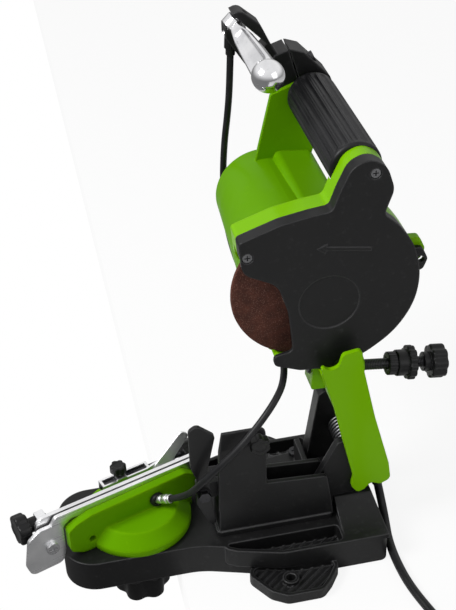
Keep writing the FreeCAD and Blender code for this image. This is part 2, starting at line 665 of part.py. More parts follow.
def rail_screws():
    """The end bracket's screw, and two whose heads lie flush in the slot's near side."""
    screws = [pan_screw(END_SCREW, AXIS_Y, END_SCREW_RADIUS, PLATE_THICKNESS + 5.0, 4.8, 2.6)]
    for x in RAIL_SCREWS:
        seat = Vector(x, PLATE_NEAR_BACK - RAIL_HEAD, RAIL_SCREW_Z)
        screws.append(pan_screw(seat, AXIS_Y * -1, SCREW_RADIUS, RAIL_SHANK, RAIL_HEAD_RADIUS, RAIL_HEAD))
    return on_vice(Part.makeCompound(screws))


def end_knob():
    """The knob at the rail's low end; its stem turns in the bracket behind the near plate."""
    start = Vector(END_BLOCK[1] + 2.5, END_KNOB_Y, END_KNOB_Z)
    collar = rod(start, AXIS_X * -1, 4.5, 2.5 - BODY_GAP)
    stem = rod(start, AXIS_X * -1, END_STEM, start.x - END_KNOB_X)
    neck_start = Vector(END_BLOCK[0] - BODY_GAP, END_KNOB_Y, END_KNOB_Z)
    neck = rod(neck_start, AXIS_X * -1, 5.0, neck_start.x - END_KNOB_X)
    head = lobed_knob(Vector(END_KNOB_X, END_KNOB_Y, END_KNOB_Z), AXIS_X * -1, 11.5, 9, 6, 1.8)
    return on_vice(fuse([collar, stem, neck, head]))


def cable_ferrule():
    """The sleeve that anchors the cable's outer casing in the vice's near wall."""
    seat = Vector(BUSH_X, VICE_NEAR_FACE, BUSH_Z)
    nut = hexagon(seat - AXIS_Y * 2.5, AXIS_Y, 11.0, 2.5)
    thread = rod(seat, AXIS_Y, BUSH_RADIUS, 6.0)
    start = seat - AXIS_Y
    behind = box((BUSH_X - 20, VICE_NEAR_FACE, BUSH_Z - 20), (BUSH_X + 20, 0, BUSH_Z + 20))
    sleeve = cone(start, SLEEVE_AXIS, 4.2, 3.4, SLEEVE_LENGTH).cut(behind)
    bores = [rod(start, SLEEVE_AXIS, 1.2, SLEEVE_LENGTH + 1), rod(start, AXIS_Y, 1.2, 10)]
    return on_vice(cut(fuse([nut, thread, sleeve]), bores))


def clamp_lever():
    """The small rocker inside the vice that the cable pulls to close the jaw."""
    x = CLAMP_X
    z = CLAMP_Z
    nose_radius = 2.0
    nose_y = PLATE_FAR_BACK + BODY_GAP + nose_radius
    hub = rod(Vector(x - 5.5, CLAMP_Y, z), AXIS_X, 3.5, 11)
    blade = box((x - 4, CLAMP_Y - 1.7, z), (x + 4, CLAMP_Y + 1.7, z + 9.8))
    nose = rod(Vector(x - 4, nose_y, z + 8), AXIS_X, nose_radius, 8)
    neck = box((x - 4, nose_y, z + 6.2), (x + 4, CLAMP_Y, z + 9.8))
    bore = rod(Vector(x - 12, CLAMP_Y, z), AXIS_X, CLAMP_PIN + RUNNING_FIT, 24)
    return on_vice(fuse([hub, blade, nose, neck]).cut(bore))


def clamp_pin():
    return on_vice(rod(Vector(CLAMP_X - 9.5, CLAMP_Y, CLAMP_Z), AXIS_X, CLAMP_PIN, 19))


def stop_bracket():
    """The channel-shaped slide that carries the chain stop along the vice."""
    wall = 1.5
    outer = box((STOP_FRONT, STOP_NEAR, STOP_LOW), (STOP_REAR, STOP_FAR, STOP_HIGH))
    inner = box((STOP_FRONT + 2, STOP_NEAR + wall, STOP_LOW + wall),
                (STOP_REAR - 2, STOP_FAR - wall, STOP_HIGH + 1))
    bridge = box((-1, STOP_NEAR, STOP_HIGH - 0.3), (7, STOP_FAR, STOP_HIGH + 1.2))
    ear = plate([(STOP_REAR - 3, STOP_LOW), (STOP_REAR - 3, STOP_HIGH), (33, 45, 4), (38.5, 44, 5),
                 (38.5, STOP_LOW, 4)], "XZ", STOP_NEAR, STOP_NEAR + 1.8)
    tools = [rod(Vector(-30, FEED_Y, FEED_Z), AXIS_X, FEED_RADIUS + RUNNING_FIT, 80),
             rod(Vector(PAWL_PIVOT[0], 20, PAWL_PIVOT[1]), AXIS_Y, 2.0, 12)]
    return on_vice(cut(fuse([outer.cut(inner), bridge, ear]), tools))


def feed_screw():
    """The screw that moves the stop slide, held in a bearing on the vice's far wall."""
    start = Vector(-14, FEED_Y, FEED_Z)
    screw = rod(start, AXIS_X, FEED_RADIUS, 70)
    knob = lobed_knob(start + AXIS_X * 69, AXIS_X, 10.0, 11, 6, 1.6)
    return on_vice(fuse([screw, knob]))


def feed_bearing():
    arm = box((43.5, VICE_FAR_FACE, VICE_FLOOR - 2), (48.5, STOP_FAR, 35.5))
    block = box((43.5, 27.0, 35), (48.5, STOP_FAR, 45))
    hole = rod(Vector(40, FEED_Y, FEED_Z), AXIS_X, FEED_RADIUS + RUNNING_FIT, 20)
    return on_vice(fuse([arm, block]).cut(hole))


def chain_pawl():
    """The hinged strip that catches a cutter of the chain; it is stored flipped open."""
    x, z = PAWL_PIVOT
    strip = plate([(x - 5, z - 4, 4), (x - 4, z + 5, 4), (x + 20, z + 27.5, 3.6), (x + 27, z + 22.5, 3.6),
                   (x + 4, z - 4.3, 4)], "XZ", PAWL_NEAR, PAWL_NEAR + PAWL_THICKNESS)
    return on_vice(strip.cut(rod(Vector(x, 20, z), AXIS_Y, 2.0 + RUNNING_FIT, 12)))


def pawl_pin():
    x, z = PAWL_PIVOT
    pin = rod(Vector(x, PAWL_NEAR - 0.1, z), AXIS_Y, 2.0, STOP_NEAR + 1.8 - PAWL_NEAR + 0.1)
    head = rod(Vector(x, PAWL_NEAR - BODY_GAP - 1.1, z), AXIS_Y, 3.4, 1.1 + 0.05)
    link = rod(Vector(x, PAWL_NEAR - BODY_GAP, z), AXIS_Y, 2.0, 1.0)
    return on_vice(fuse([pin, head, link]))


def slide_knob():
    """The knob on top of the stop's slide."""
    x = 3.0
    seat = Vector(x, STOP_NEAR + 6.2, STOP_HIGH + 1.2)
    collar = rod(seat, AXIS_Z, 2.2, 1.5)
    return on_vice(fuse([collar, lobed_knob(seat + AXIS_Z * 1.5, AXIS_Z, 6.2, 7, 6, 1.1)]))


def lock_knob():
    head = lobed_knob(Vector(VICE_X, 0, -42), AXIS_Z, 21.0, 20, 6, 3.4)
    neck = rod(Vector(VICE_X, 0, -22), AXIS_Z, 10.5, 22 - BODY_GAP)
    thread = rod(Vector(VICE_X, 0, -37), AXIS_Z, STUD_RADIUS + RUNNING_FIT, 60)
    return fuse([head, neck]).cut(thread)


# ======================= head =======================

GUARD_OUTLINE = [
    (-20, 262, 3), (-18, 238, 12), (5.4, 226, 16), (13, 202, 40), (16, 170, 4), (2.6, 167.4, 3),
    (2.0, 160, 5), (21, 152.6, 12), (44, 151, 60), (66.4, 158.6, 60), (88, 174, 60), (101.5, 196, 60),
    (104.6, 220, 60), (99, 243, 60), (88, 259, 30), (77, 269, 5), (83.4, 287, 14), (78, 304, 14),
    (66.4, 311.5, 14), (54.4, 306, 14), (47.4, 291, 16), (42, 276.5, 5), (28, 275, 30), (8, 271.5, 30)]
GUARD_SCREWS = [(-14.2, 250.0), (70.4, 300.0), (49.0, 152.5)]
SCREW_RADIUS = 2.0
BOSS_RADIUS = 4.6
GUARD_LUG = (106.0, 226.0)
GUARD_DISH = Vector(41.0, GUARD_FACE, 206.0)
GUARD_DISH_RADIUS = 21.0


def wheel_side_rod(y, radius, length):
    return rod(Vector(WHEEL_X, y, WHEEL_Z), AXIS_Y, radius, length)


def guard_opening(y_low, y_high):
    """The gap in the rims through which the wheel reaches the chain."""
    points = [(-60, 270), (-22, 252), (6, 236), (17, 206), (21, 167), (5, 158.5), (-60, 140)]
    return plate(points, "XZ", y_low, y_high)


def wheel_guard():
    face = plate(GUARD_OUTLINE, "XZ", GUARD_FACE, GUARD_FACE + GUARD_WALL)
    rim = plate(GUARD_OUTLINE, "XZ", GUARD_FACE, RIM_NEAR)
    room = inset_plate(GUARD_OUTLINE, "XZ", GUARD_FACE + GUARD_WALL, RIM_NEAR + 1, GUARD_WALL)
    skirt = rim.cut(room).cut(guard_opening(GUARD_FACE + GUARD_WALL, RIM_NEAR + 1))
    bosses = []
    holes = [rod(GUARD_DISH - AXIS_Y, AXIS_Y, GUARD_DISH_RADIUS, 1.8)]
    for x, z in GUARD_SCREWS:
        bosses.append(rod(Vector(x, GUARD_FACE, z), AXIS_Y, BOSS_RADIUS, RIM_NEAR - GUARD_FACE))
        holes.append(rod(Vector(x, GUARD_FACE - 1, z), AXIS_Y, SCREW_RADIUS, 30))
        holes.append(rod(Vector(x, GUARD_FACE - 1, z), AXIS_Y, BOSS_RADIUS - 0.8, 4))
    lug = plate([(98, 216, 2), (108, 218, 4), (111, 226, 4), (107, 235, 4), (96, 236, 2)],
                "XZ", RIM_NEAR - 4, RIM_NEAR)
    holes.append(rod(Vector(GUARD_LUG[0], RIM_NEAR - 5, GUARD_LUG[1]), AXIS_Y, 2.6, 6))
    arrow = plate([(32, 249.8), (39, 252.8), (38.6, 250.6), (69.2, 245.6), (68.8, 243.0), (38.2, 248.0),
                   (37.8, 245.8)], "XZ", GUARD_FACE - 0.6, GUARD_FACE + 0.5)
    return fuse([cut(fuse([face, skirt, lug] + bosses), holes), arrow])


def guard_screws():
    screws = []
    for x, z in GUARD_SCREWS:
        seat = Vector(x, GUARD_FACE + 3, z)
        screws.append(pan_screw(seat, AXIS_Y, SCREW_RADIUS, 15, BOSS_RADIUS - 1.2, 2.4))
    return Part.makeCompound(screws)


BEARING_OUTER = 14.0
FRONT_BEARING_Y = 12.0
REAR_BEARING_Y = 117.0
BEARING_WIDTH = 9.0
ARM_SIDES = [(41, 129, 20), (49, 93, 20), (57.5, 57, 4), (56, 48, 4), (61, 41, 5), (66, 43, 2),
             (71, 49, 4), (78, 45.5, 3), (86, 49, 5), (84, 65, 10), (72, 111, 30), (63, 153, 10)]
ARM_OUTLINE = [(32, 160, 2)] + ARM_SIDES + [(60, 164, 4), (45, 164, 3)]
ARM_NEAR_OUTLINE = [(31.5, 164, 1.5)] + ARM_SIDES + [
    (61, 172, 3), (47.5, 170, 4), (45, 160.5, 4), (38.5, 158, 7)]


def arm_walls():
    """The arm's two side walls with the hollow box that joins their upper ends."""
    near_wall = plate(ARM_NEAR_OUTLINE, "XZ", ARM_NEAR, ARM_NEAR + ARM_WALL)
    far_wall = plate(ARM_OUTLINE, "XZ", ARM_FAR - ARM_WALL, ARM_FAR)
    inner_near = ARM_NEAR + ARM_WALL
    inner_far = ARM_FAR - ARM_WALL
    x, z = GUARD_SCREWS[2]
    guard_room = [box((0, inner_near, 150.5), (100, RIM_NEAR, 200)),
                  rod(Vector(x, inner_near, z), AXIS_Y, BOSS_RADIUS + 0.4, RIM_NEAR - inner_near)]
    top_box = plate([(33, 155, 2), (44, 118, 2), (71, 115), (63, 153, 8), (60, 164, 4)],
                    "XZ", inner_near - 1, inner_far + 1)
    box_hollow = plate([(38, 148, 2), (46.5, 122, 2), (66.5, 119), (60, 148, 6)], "XZ", inner_near, inner_far)
    opening = plate([(47.5, 100), (44, 126), (68, 122), (73, 100)], "XZ", inner_near, inner_far)
    return [near_wall, far_wall, cut(top_box, guard_room + [box_hollow, opening])]


def stop_block():
    """The square boss that holds the depth screw's front end, under the guard's lower edge."""
    x = STOP_TIP.x + TIP_SHOWN
    low = [(x - 1.6, 130.5, 2), (x, 150, 1), (44, 150), (46, 130)]
    high = [(x, 148), (x, 156), (44, 156), (44, 148)]
    return fuse([plate(low, "XZ", STOP_Y - 8, STOP_Y + 9), plate(high, "XZ", RIM_NEAR + BODY_GAP, FLANGE_NEAR)])


def head_casting():
    """Flange behind the wheel, bearing seat and the two-walled arm down to the hinge."""
    flange = plate(GUARD_OUTLINE, "XZ", FLANGE_NEAR, FLANGE_FAR)
    rim = plate(GUARD_OUTLINE, "XZ", RIM_NEAR, FLANGE_NEAR)
    room = inset_plate(GUARD_OUTLINE, "XZ", RIM_NEAR - 1, FLANGE_NEAR, GUARD_WALL)
    rim = rim.cut(room).cut(guard_opening(RIM_NEAR - 1, FLANGE_NEAR))
    motor_room = wheel_side_rod(FLANGE_FAR, MOTOR_NEAR_RADIUS + 0.2, 60)
    seat = wheel_side_rod(FLANGE_FAR - 1, BEARING_OUTER + 4, FRONT_BEARING_Y + BEARING_WIDTH - FLANGE_FAR + 1)
    bosses = []
    for x, z in GUARD_SCREWS:
        bosses.append(rod(Vector(x, RIM_NEAR, z), AXIS_Y, BOSS_RADIUS, FLANGE_FAR - RIM_NEAR))
    lug = plate([(97, 222, 2), (107, 224, 4), (110, 232, 4), (106, 241, 4), (94, 242, 2)],
                "XZ", RIM_NEAR, RIM_NEAR + 6)
    neck = plate([(34, 146), (33, 172, 4), (64, 172, 4), (63, 146)], "XZ", FLANGE_NEAR, ARM_FAR)
    near_wall, far_wall, top_box = arm_walls()
    arm = [near_wall, far_wall.cut(motor_room), top_box.cut(room).cut(motor_room), neck.cut(motor_room)]
    bridge = box((GLAND_AT.x - 7, ARM_NEAR + 1, GLAND_AT.z), (GLAND_AT.x + 6, ARM_FAR - 1, GLAND_AT.z + 4))
    ear = rod(Vector(HANDLE_X, RIM_NEAR, HANDLE_Z), AXIS_Y, TUBE_RADIUS + 4, GRIP_NEAR - RIM_NEAR)
    ear = ear.common(plate(GUARD_OUTLINE, "XZ", RIM_NEAR, GRIP_NEAR))
    spigot_radius = TUBE_RADIUS - TUBE_WALL - RUNNING_FIT
    spigot = rod(Vector(HANDLE_X, HANDLE_START, HANDLE_Z), AXIS_Y, spigot_radius, SPIGOT)
    screw_boss = rod(STOP_AT_ARM - STOP_ALONG * 8, STOP_ALONG, 8.0, 8)
    front_boss = stop_block()
    shape = fuse([flange, rim, seat, lug, bridge, ear, screw_boss, front_boss] + arm + bosses)
    tools = [wheel_side_rod(FLANGE_NEAR - 1, 9.0, 30),
             wheel_side_rod(FRONT_BEARING_Y, BEARING_OUTER, 20),
             rod(Vector(HANDLE_X, HANDLE_START, HANDLE_Z), AXIS_Y, TUBE_RADIUS, 40),
             rod(Vector(HANDLE_X, GRIP_NEAR, HANDLE_Z), AXIS_Y, GRIP_RADIUS + 0.5, 10),
             rod(Vector(HINGE_X, ARM_NEAR + PIN_COVER, HINGE_Z), AXIS_Y, PIN_RADIUS + RUNNING_FIT, 80),
             rod(STOP_TIP - STOP_ALONG, STOP_ALONG, STOP_SCREW_RADIUS + RUNNING_FIT, 80),
             rod(Vector(GLAND_AT.x, GLAND_AT.y, 40), AXIS_Z, GLAND_RADIUS, 20)]
    for x, z in GUARD_SCREWS:
        tools.append(rod(Vector(x, RIM_NEAR - 1, z), AXIS_Y, SCREW_RADIUS, 12))
    return fuse([cut(shape, tools), spigot])


STOP_ALONG = (STOP_TAIL - STOP_TIP).normalize()
TIP_SHOWN = 2.2                               # of the depth screw, in front of its boss
STOP_AT_ARM = STOP_TIP + STOP_ALONG * 40      # where the screw leaves the arm
GLAND_AT = Vector(79.0, -6.0, 50.0)
GLAND_RADIUS = 5.0
SPIGOT = 44.0                                 # of the casting, inside the handle tube


def motor_housing():
    length = MOTOR_END - FLANGE_FAR
    far = MOTOR_FAR_RADIUS
    start = Vector(WHEEL_X, FLANGE_FAR, WHEEL_Z)
    shell = cone(start, AXIS_Y, MOTOR_NEAR_RADIUS, far, length - MOTOR_CAP)
    cap = cone(start + AXIS_Y * (length - MOTOR_CAP), AXIS_Y, far, far - MOTOR_CAP, MOTOR_CAP)
    room = motor_bore(MOTOR_WALL)
    seat = wheel_side_rod(REAR_BEARING_Y, BEARING_OUTER + 4, MOTOR_END - REAR_BEARING_Y - 1)
    shape = fuse([shell, cap, shoulder()]).cut(room)
    shape = fuse([shape, seat, handle_fin().cut(room)])
    tools = [wheel_side_rod(REAR_BEARING_Y - 1, BEARING_OUTER, BEARING_WIDTH + 1),
             wheel_side_rod(REAR_BEARING_Y, 8.0, MOTOR_END - REAR_BEARING_Y - 5)]
    for i in range(10):
        turn = math.radians(36 * i + 18)
        out = Vector(math.cos(turn), 0, math.sin(turn))
        centre = Vector(WHEEL_X, MOTOR_END - 10, WHEEL_Z) + out * VENT_CIRCLE
        vent = box((-5, 0, -2), (5, 12, 2))
        vent.rotate(Vector(0, 0, 0), AXIS_Y, -math.degrees(turn))
        vent.translate(centre)
        tools.append(vent)
    return cut(shape, tools + motor_screw_holes(MOTOR_END - 12, MOTOR_END + 1))


def shoulder():
    """The step beside the motor, under the grip."""
    outline = [(WHEEL_X, 222), (WHEEL_X + 6, SHOULDER_TOP, 5), (SHOULDER_REAR, SHOULDER_TOP - 3, 6),
               (SHOULDER_REAR - 1, 222, 4)]
    return plate(outline, "XZ", FLANGE_FAR, GRIP_FAR)


def handle_fin():
    """The web that holds up the handle's far end: a plate from the motor's top to the tube."""
    outline = [(20, 236), (34.5, 297, 2), (HANDLE_X, HANDLE_Z + 14, 10), (HANDLE_X + 15, HANDLE_Z, 12),
               (SHOULDER_REAR - 2, SHOULDER_TOP - 8, 8), (56, 228)]
    web = plate(outline, "XZ", GRIP_FAR + BODY_GAP, CLAMP_NEAR - BODY_GAP)
    return web.cut(rod(Vector(HANDLE_X, GRIP_FAR - 1, HANDLE_Z), AXIS_Y, TUBE_RADIUS + RUNNING_FIT, 10))


def motor_bore(inset):
    """The tapering room inside the motor housing, inset from its outer surface."""
    start = Vector(WHEEL_X, FLANGE_FAR - 0.01, WHEEL_Z)
    length = MOTOR_END - FLANGE_FAR - MOTOR_CAP - MOTOR_WALL
    return cone(start, AXIS_Y, MOTOR_NEAR_RADIUS - inset, MOTOR_FAR_RADIUS - inset, length)


MOTOR_SCREWS = (36.0, 144.0, 216.0, 324.0)
MOTOR_SCREW_CIRCLE = 25.5


def motor_screws():
    screws = []
    for angle in MOTOR_SCREWS:
        turn = math.radians(angle)
        out = Vector(math.cos(turn), 0, math.sin(turn))
        seat = Vector(WHEEL_X, MOTOR_END, WHEEL_Z) + out * MOTOR_SCREW_CIRCLE
        screws.append(pan_screw(seat, AXIS_Y * -1, SCREW_RADIUS, MOTOR_END - STATOR_NEAR - 6, 4.0, 2.4))
    return Part.makeCompound(screws)


def motor_screw_holes(y_low, y_high):
    holes = []
    for angle in MOTOR_SCREWS:
        turn = math.radians(angle)
        out = Vector(math.cos(turn), 0, math.sin(turn))
        start = Vector(WHEEL_X, y_low, WHEEL_Z) + out * MOTOR_SCREW_CIRCLE
        holes.append(rod(start, AXIS_Y, SCREW_RADIUS + RUNNING_FIT, y_high - y_low))
    return holes


STATOR_NEAR = 34.0
STATOR_FAR = 84.0
STATOR_OUTER = 33.0
STATOR_BORE = 21.0
AIR_GAP = 1.0


def stator():
    """The laminated ring with its two windings, held in the housing by four keys."""
    length = STATOR_FAR - STATOR_NEAR
    ring = pipe(Vector(WHEEL_X, STATOR_NEAR, WHEEL_Z), AXIS_Y, STATOR_OUTER, STATOR_BORE, length)
    keys = []
    for i in range(4):
        key = box((STATOR_OUTER - 2, STATOR_NEAR, -5), (MOTOR_NEAR_RADIUS, STATOR_FAR, 5))
        key.rotate(Vector(0, 0, 0), AXIS_Y, 90 * i)
        key.translate(Vector(WHEEL_X, 0, WHEEL_Z))
        keys.append(key)
    shape = fuse([ring] + keys).common(motor_bore(MOTOR_WALL + 0.15))
    return cut(shape, motor_screw_holes(STATOR_NEAR - 1, STATOR_FAR + 1))


def armature():
    radius = STATOR_BORE - AIR_GAP
    core = wheel_side_rod(STATOR_NEAR + 2, radius, STATOR_FAR - STATOR_NEAR - 4)
    slots = []
    for i in range(12):
        turn = math.radians(30 * i)
        centre = Vector(WHEEL_X + radius * math.cos(turn), STATOR_NEAR + 1, WHEEL_Z + radius * math.sin(turn))
        slots.append(rod(centre, AXIS_Y, 2.0, STATOR_FAR - STATOR_NEAR))
    return cut(core, slots + [wheel_side_rod(STATOR_NEAR, SHAFT_RADIUS, 60)])


def commutator():
    return wheel_side_rod(86, 11.0, 14).cut(wheel_side_rod(80, SHAFT_RADIUS, 30))


def brush_holders():
    """Two carbon brushes in their boxes, each on a bracket from the housing's wall."""
    holders = []
    for side in (-1, 1):
        body = box((11.5, 89, -4), (MOTOR_NEAR_RADIUS, 97, 4))
        if side < 0:
            body = body.mirror(Vector(0, 0, 0), AXIS_X)
        body.translate(Vector(WHEEL_X, 0, WHEEL_Z))
        holders.append(body.common(motor_bore(MOTOR_WALL + 0.15)))
    return Part.makeCompound(holders)


def cooling_fan():
    hub = wheel_side_rod(24, 9.5, 8)
    blades = []
    for i in range(9):
        blade = box((8, 24, -1), (FAN_RADIUS - 1, 31, 1))
        blade.rotate(Vector(0, 0, 0), AXIS_Y, 40 * i)
        blade.translate(Vector(WHEEL_X, 0, WHEEL_Z))
        blades.append(blade)
    back = wheel_side_rod(31, FAN_RADIUS, 1.5)
    return fuse([hub, back] + blades).cut(wheel_side_rod(20, SHAFT_RADIUS, 20))


FAN_RADIUS = 34.0


def bearing(y):
    return pipe(Vector(WHEEL_X, y, WHEEL_Z), AXIS_Y, BEARING_OUTER, SHAFT_RADIUS + RUNNING_FIT, BEARING_WIDTH)


def bearings():
    return Part.makeCompound([bearing(FRONT_BEARING_Y), bearing(REAR_BEARING_Y)])


def motor_shaft():
    return wheel_side_rod(-11.5, SHAFT_RADIUS, REAR_BEARING_Y + BEARING_WIDTH + 11.5 + 1)


def grinding_wheel():
    disc = wheel_side_rod(-WHEEL_WIDTH / 2, WHEEL_RADIUS, WHEEL_WIDTH)
    return disc.cut(wheel_side_rod(-10, WHEEL_BORE_RADIUS, 20))


def inner_flange():
    half = WHEEL_WIDTH / 2
    disc = wheel_side_rod(half, 20.0, 2.0)
    spigot = wheel_side_rod(-half + 0.3, WHEEL_BORE_RADIUS, WHEEL_WIDTH - 0.3)
    boss = wheel_side_rod(half, 8.5, 9.0)
    return fuse([disc, spigot, boss]).cut(wheel_side_rod(-12, SHAFT_RADIUS, 40))


def outer_flange():
    disc = wheel_side_rod(-WHEEL_WIDTH / 2 - 2.5, 19.0, 2.5)
    return disc.cut(wheel_side_rod(-12, SHAFT_RADIUS, 40))


def wheel_nut():
    start = Vector(WHEEL_X, -WHEEL_WIDTH / 2 - 2.5 - 6.5, WHEEL_Z)
    return hexagon(start, AXIS_Y, 18.0, 6.5).cut(wheel_side_rod(-20, SHAFT_RADIUS, 40))


def handle_tube():
    start = Vector(HANDLE_X, HANDLE_START, HANDLE_Z)
    return pipe(start, AXIS_Y, TUBE_RADIUS, TUBE_RADIUS - TUBE_WALL, HANDLE_END - HANDLE_START)


def handle_grip():
    start = Vector(HANDLE_X, GRIP_NEAR, HANDLE_Z)
    length = GRIP_FAR - GRIP_NEAR
    body = rod(start, AXIS_Y, GRIP_RADIUS, length)
    tools = [rod(start - AXIS_Y, AXIS_Y, TUBE_RADIUS, length + 2)]
    for i in range(16):
        turn = math.radians(22.5 * i)
        out = Vector(math.cos(turn), 0, math.sin(turn))
        flute = rod(start + out * (GRIP_RADIUS + 0.9) + AXIS_Y * 6, AXIS_Y, 2.2, length - 12)
        tools.append(flute)
    return cut(body, tools)


CLAMP_SPLIT = 1.2
CLAMP_HEAD = 4.4


def split_plane(side):
    """A large block on one side of the clamp's split line."""
    top = Vector(48.0, 0, 332.0)
    low = Vector(66.0, 0, 270.0)
    along = (low - top).normalize()
    across = Vector(-along.z, 0, along.x) * side
    a = top - along * 60 - across * CLAMP_SPLIT / 2
    b = low + along * 60 - across * CLAMP_SPLIT / 2
    face = Part.Face(Part.makePolygon([
        Vector(a.x, 100, a.z), Vector(b.x, 100, b.z), Vector(b.x + across.x * 200, 100, b.z + across.z * 200),
        Vector(a.x + across.x * 200, 100, a.z + across.z * 200), Vector(a.x, 100, a.z)]))
    return face.extrude(AXIS_Y * 60)


CLAMP_OUTLINE = [(43, 286, 8), (58, 276, 10), (76, 279, 8), (84, 292, 8), (79, 305, 8), (60, 325, 5),
                 (50, 328.5, 5), (39, 325, 4), (29, 314, 10)]
PERCH_OUTLINE = [(42, 300, 10), (48, 316, 4), (38, 330, 8), (29, 349, 6), (15, 361, 6), (4, 356.5, 5),
                 (4, 342, 4), (18, 320, 20)]
CLAMP_SCREW_OFFSET = 19.0     # from the tube's axis
CLAMP_SCREW_RADIUS = 2.5
CLAMP_SEAT = 9.5              # from the split line to the screw head's seat


def clamp_screw_axis(offset):
    """Start and direction of a clamp screw, beside the tube at the given distance."""
    direction = Vector(-0.92, 0, -0.39).normalize()
    along = Vector(-0.39, 0, 0.92).normalize()
    centre = Vector(HANDLE_X, (CLAMP_NEAR + CLAMP_FAR) / 2, HANDLE_Z) + along * offset
    return centre, direction


def lever_bracket():
    clamp = plate(CLAMP_OUTLINE, "XZ", CLAMP_NEAR, CLAMP_FAR).cut(split_plane(1))
    left = min(clamp.Solids, key=lambda solid: solid.CenterOfMass.x)
    perch = plate(PERCH_OUTLINE, "XZ", CLAMP_NEAR + 1, CLAMP_FAR - 6).cut(split_plane(1))
    centre, direction = clamp_screw_axis(CLAMP_SCREW_OFFSET)
    adjuster_hole = 8 + ADJUSTER_HEIGHT + BODY_GAP
    tools = [rod(Vector(HANDLE_X, CLAMP_NEAR - 1, HANDLE_Z), AXIS_Y, TUBE_RADIUS + RUNNING_FIT, 60),
             rod(LEVER_PIVOT - LEVER_AXIS * 20, LEVER_AXIS, 2.5, 40),
             lever_room(),
             rod(CABLE_TOP + CABLE_EXIT * 8, CABLE_EXIT * -1, ADJUSTER_RADIUS + RUNNING_FIT, adjuster_hole),
             rod(centre - direction * 30, direction, CLAMP_SCREW_RADIUS + 0.1, 50)]
    return cut(fuse([left, perch]), tools)


LEVER_AXIS = Vector(1, 0, 1).normalize()
LEVER_THICKNESS = 9.0
ADJUSTER_RADIUS = 4.6
ADJUSTER_HEIGHT = 8.2


def lever_room():
    """The slot in the perch that the lever's hub turns in."""
    size = LEVER_THICKNESS + 2 * BODY_GAP
    slot = Part.makeBox(40, 60, size, Vector(-14, -14, -size / 2))
    slot.rotate(Vector(0, 0, 0), AXIS_Y, 45)
    slot.translate(LEVER_PIVOT)
    return slot


def clamp_half():
    clamp = plate(CLAMP_OUTLINE, "XZ", CLAMP_NEAR, CLAMP_FAR).cut(split_plane(-1))
    right = max(clamp.Solids, key=lambda solid: solid.CenterOfMass.x)
    centre, direction = clamp_screw_axis(CLAMP_SCREW_OFFSET)
    tools = [rod(Vector(HANDLE_X, CLAMP_NEAR - 1, HANDLE_Z), AXIS_Y, TUBE_RADIUS + RUNNING_FIT, 60),
             rod(centre - direction * 30, direction, CLAMP_SCREW_RADIUS + 0.1, 50),
             rod(centre - direction * CLAMP_SEAT, direction * -1, CLAMP_HEAD + BODY_GAP, 20)]
    return cut(right, tools)


def clamp_screw():
    centre, direction = clamp_screw_axis(CLAMP_SCREW_OFFSET)
    head = rod(centre - direction * (CLAMP_SEAT + 4.5), direction, CLAMP_HEAD, 4.5)
    shank = rod(centre - direction * (CLAMP_SEAT + 0.5), direction, CLAMP_SCREW_RADIUS, CLAMP_SEAT + 13)
    socket = hexagon(centre - direction * (CLAMP_SEAT + 4.6), direction, 4.0, 2.6)
    return fuse([head, shank]).cut(socket)


def lever_pin():
    return rod(LEVER_PIVOT - LEVER_AXIS * 10, LEVER_AXIS, 2.5, 20)


def cable_adjuster():
    """The knurled barrel that the cable's casing seats in, under the perch."""
    start = CABLE_TOP
    direction = CABLE_EXIT
    barrel = rod(start, direction * -1, ADJUSTER_RADIUS, ADJUSTER_HEIGHT)
    collar = rod(start, direction, 3.4, 5)
    bore = rod(start + direction * 6, direction * -1, 1.2, 20)
    return fuse([barrel, collar]).cut(bore)


LEVER_BALL = Vector(18.0, 55.0, 342.0)
LEVER_BALL_RADIUS = 11.2


def brake_lever():
    """The pull lever: a hub on the pin, a tapering blade and a ball at its end."""
    half = LEVER_THICKNESS / 2
    hub = rod(LEVER_PIVOT - LEVER_AXIS * half, LEVER_AXIS, 8.0, LEVER_THICKNESS)
    along = LEVER_BALL - LEVER_PIVOT
    length = along.Length
    along.normalize()
    side = LEVER_AXIS.cross(along).normalize()
    up = along.cross(side).normalize()
    sections = []
    stations = ((0.0, 9.0, 8.6), (9.0, 8.5, 8.6), (22.0, 8.0, 13.0), (44.0, 8.0, 16.0), (length - 4, 9.0, 18.5))
    for distance, width, depth in stations:
        centre = LEVER_PIVOT + along * distance
        corners = [centre + side * (sx * width / 2) + up * (sy * depth / 2)
                   for sx, sy in ((-1, -1), (1, -1), (1, 1), (-1, 1), (-1, -1))]
        sections.append(Part.makePolygon(corners))
    blade = Part.makeLoft(sections, True, True)
    ball = Part.makeSphere(LEVER_BALL_RADIUS, LEVER_BALL, along)
    dimple = rod(LEVER_BALL + along * (LEVER_BALL_RADIUS - 2), along, 3.4, 4)
    bore = rod(LEVER_PIVOT - LEVER_AXIS * 20, LEVER_AXIS, 2.5 + RUNNING_FIT, 40)
    return cut(fuse([hub, blade, ball]), [bore, dimple])


def switch_body():
    """A small switch box on the arm's far side, with a rocker."""
    body = box((44, ARM_FAR, 122), (62, ARM_FAR + 12, 148))
    pocket = box((47, ARM_FAR + 5, 126), (59, ARM_FAR + 13, 144))
    return body.cut(pocket)


def switch_rocker():
    """The rocker with its round pivot, tipped to its off side."""
    y = ARM_FAR + 11.0
    low = 47 + BODY_GAP
    high = 59 - BODY_GAP
    profile = plate([(y - 4, 127, 1), (y + 3, 127, 1), (y + 1, 135, 3), (y + 3, 143, 1), (y - 4, 143, 1)],
                    "YZ", low, high)
    pivot = rod(Vector(low, y - 2, 135), AXIS_X, 3.5, high - low)
    above = box((low - 1, y, 120), (high + 1, y + 10, 150))
    shape = fuse([profile, pivot.cut(above)])
    shape.rotate(Vector(53, y - 2, 135), AXIS_X, 6)
    return shape


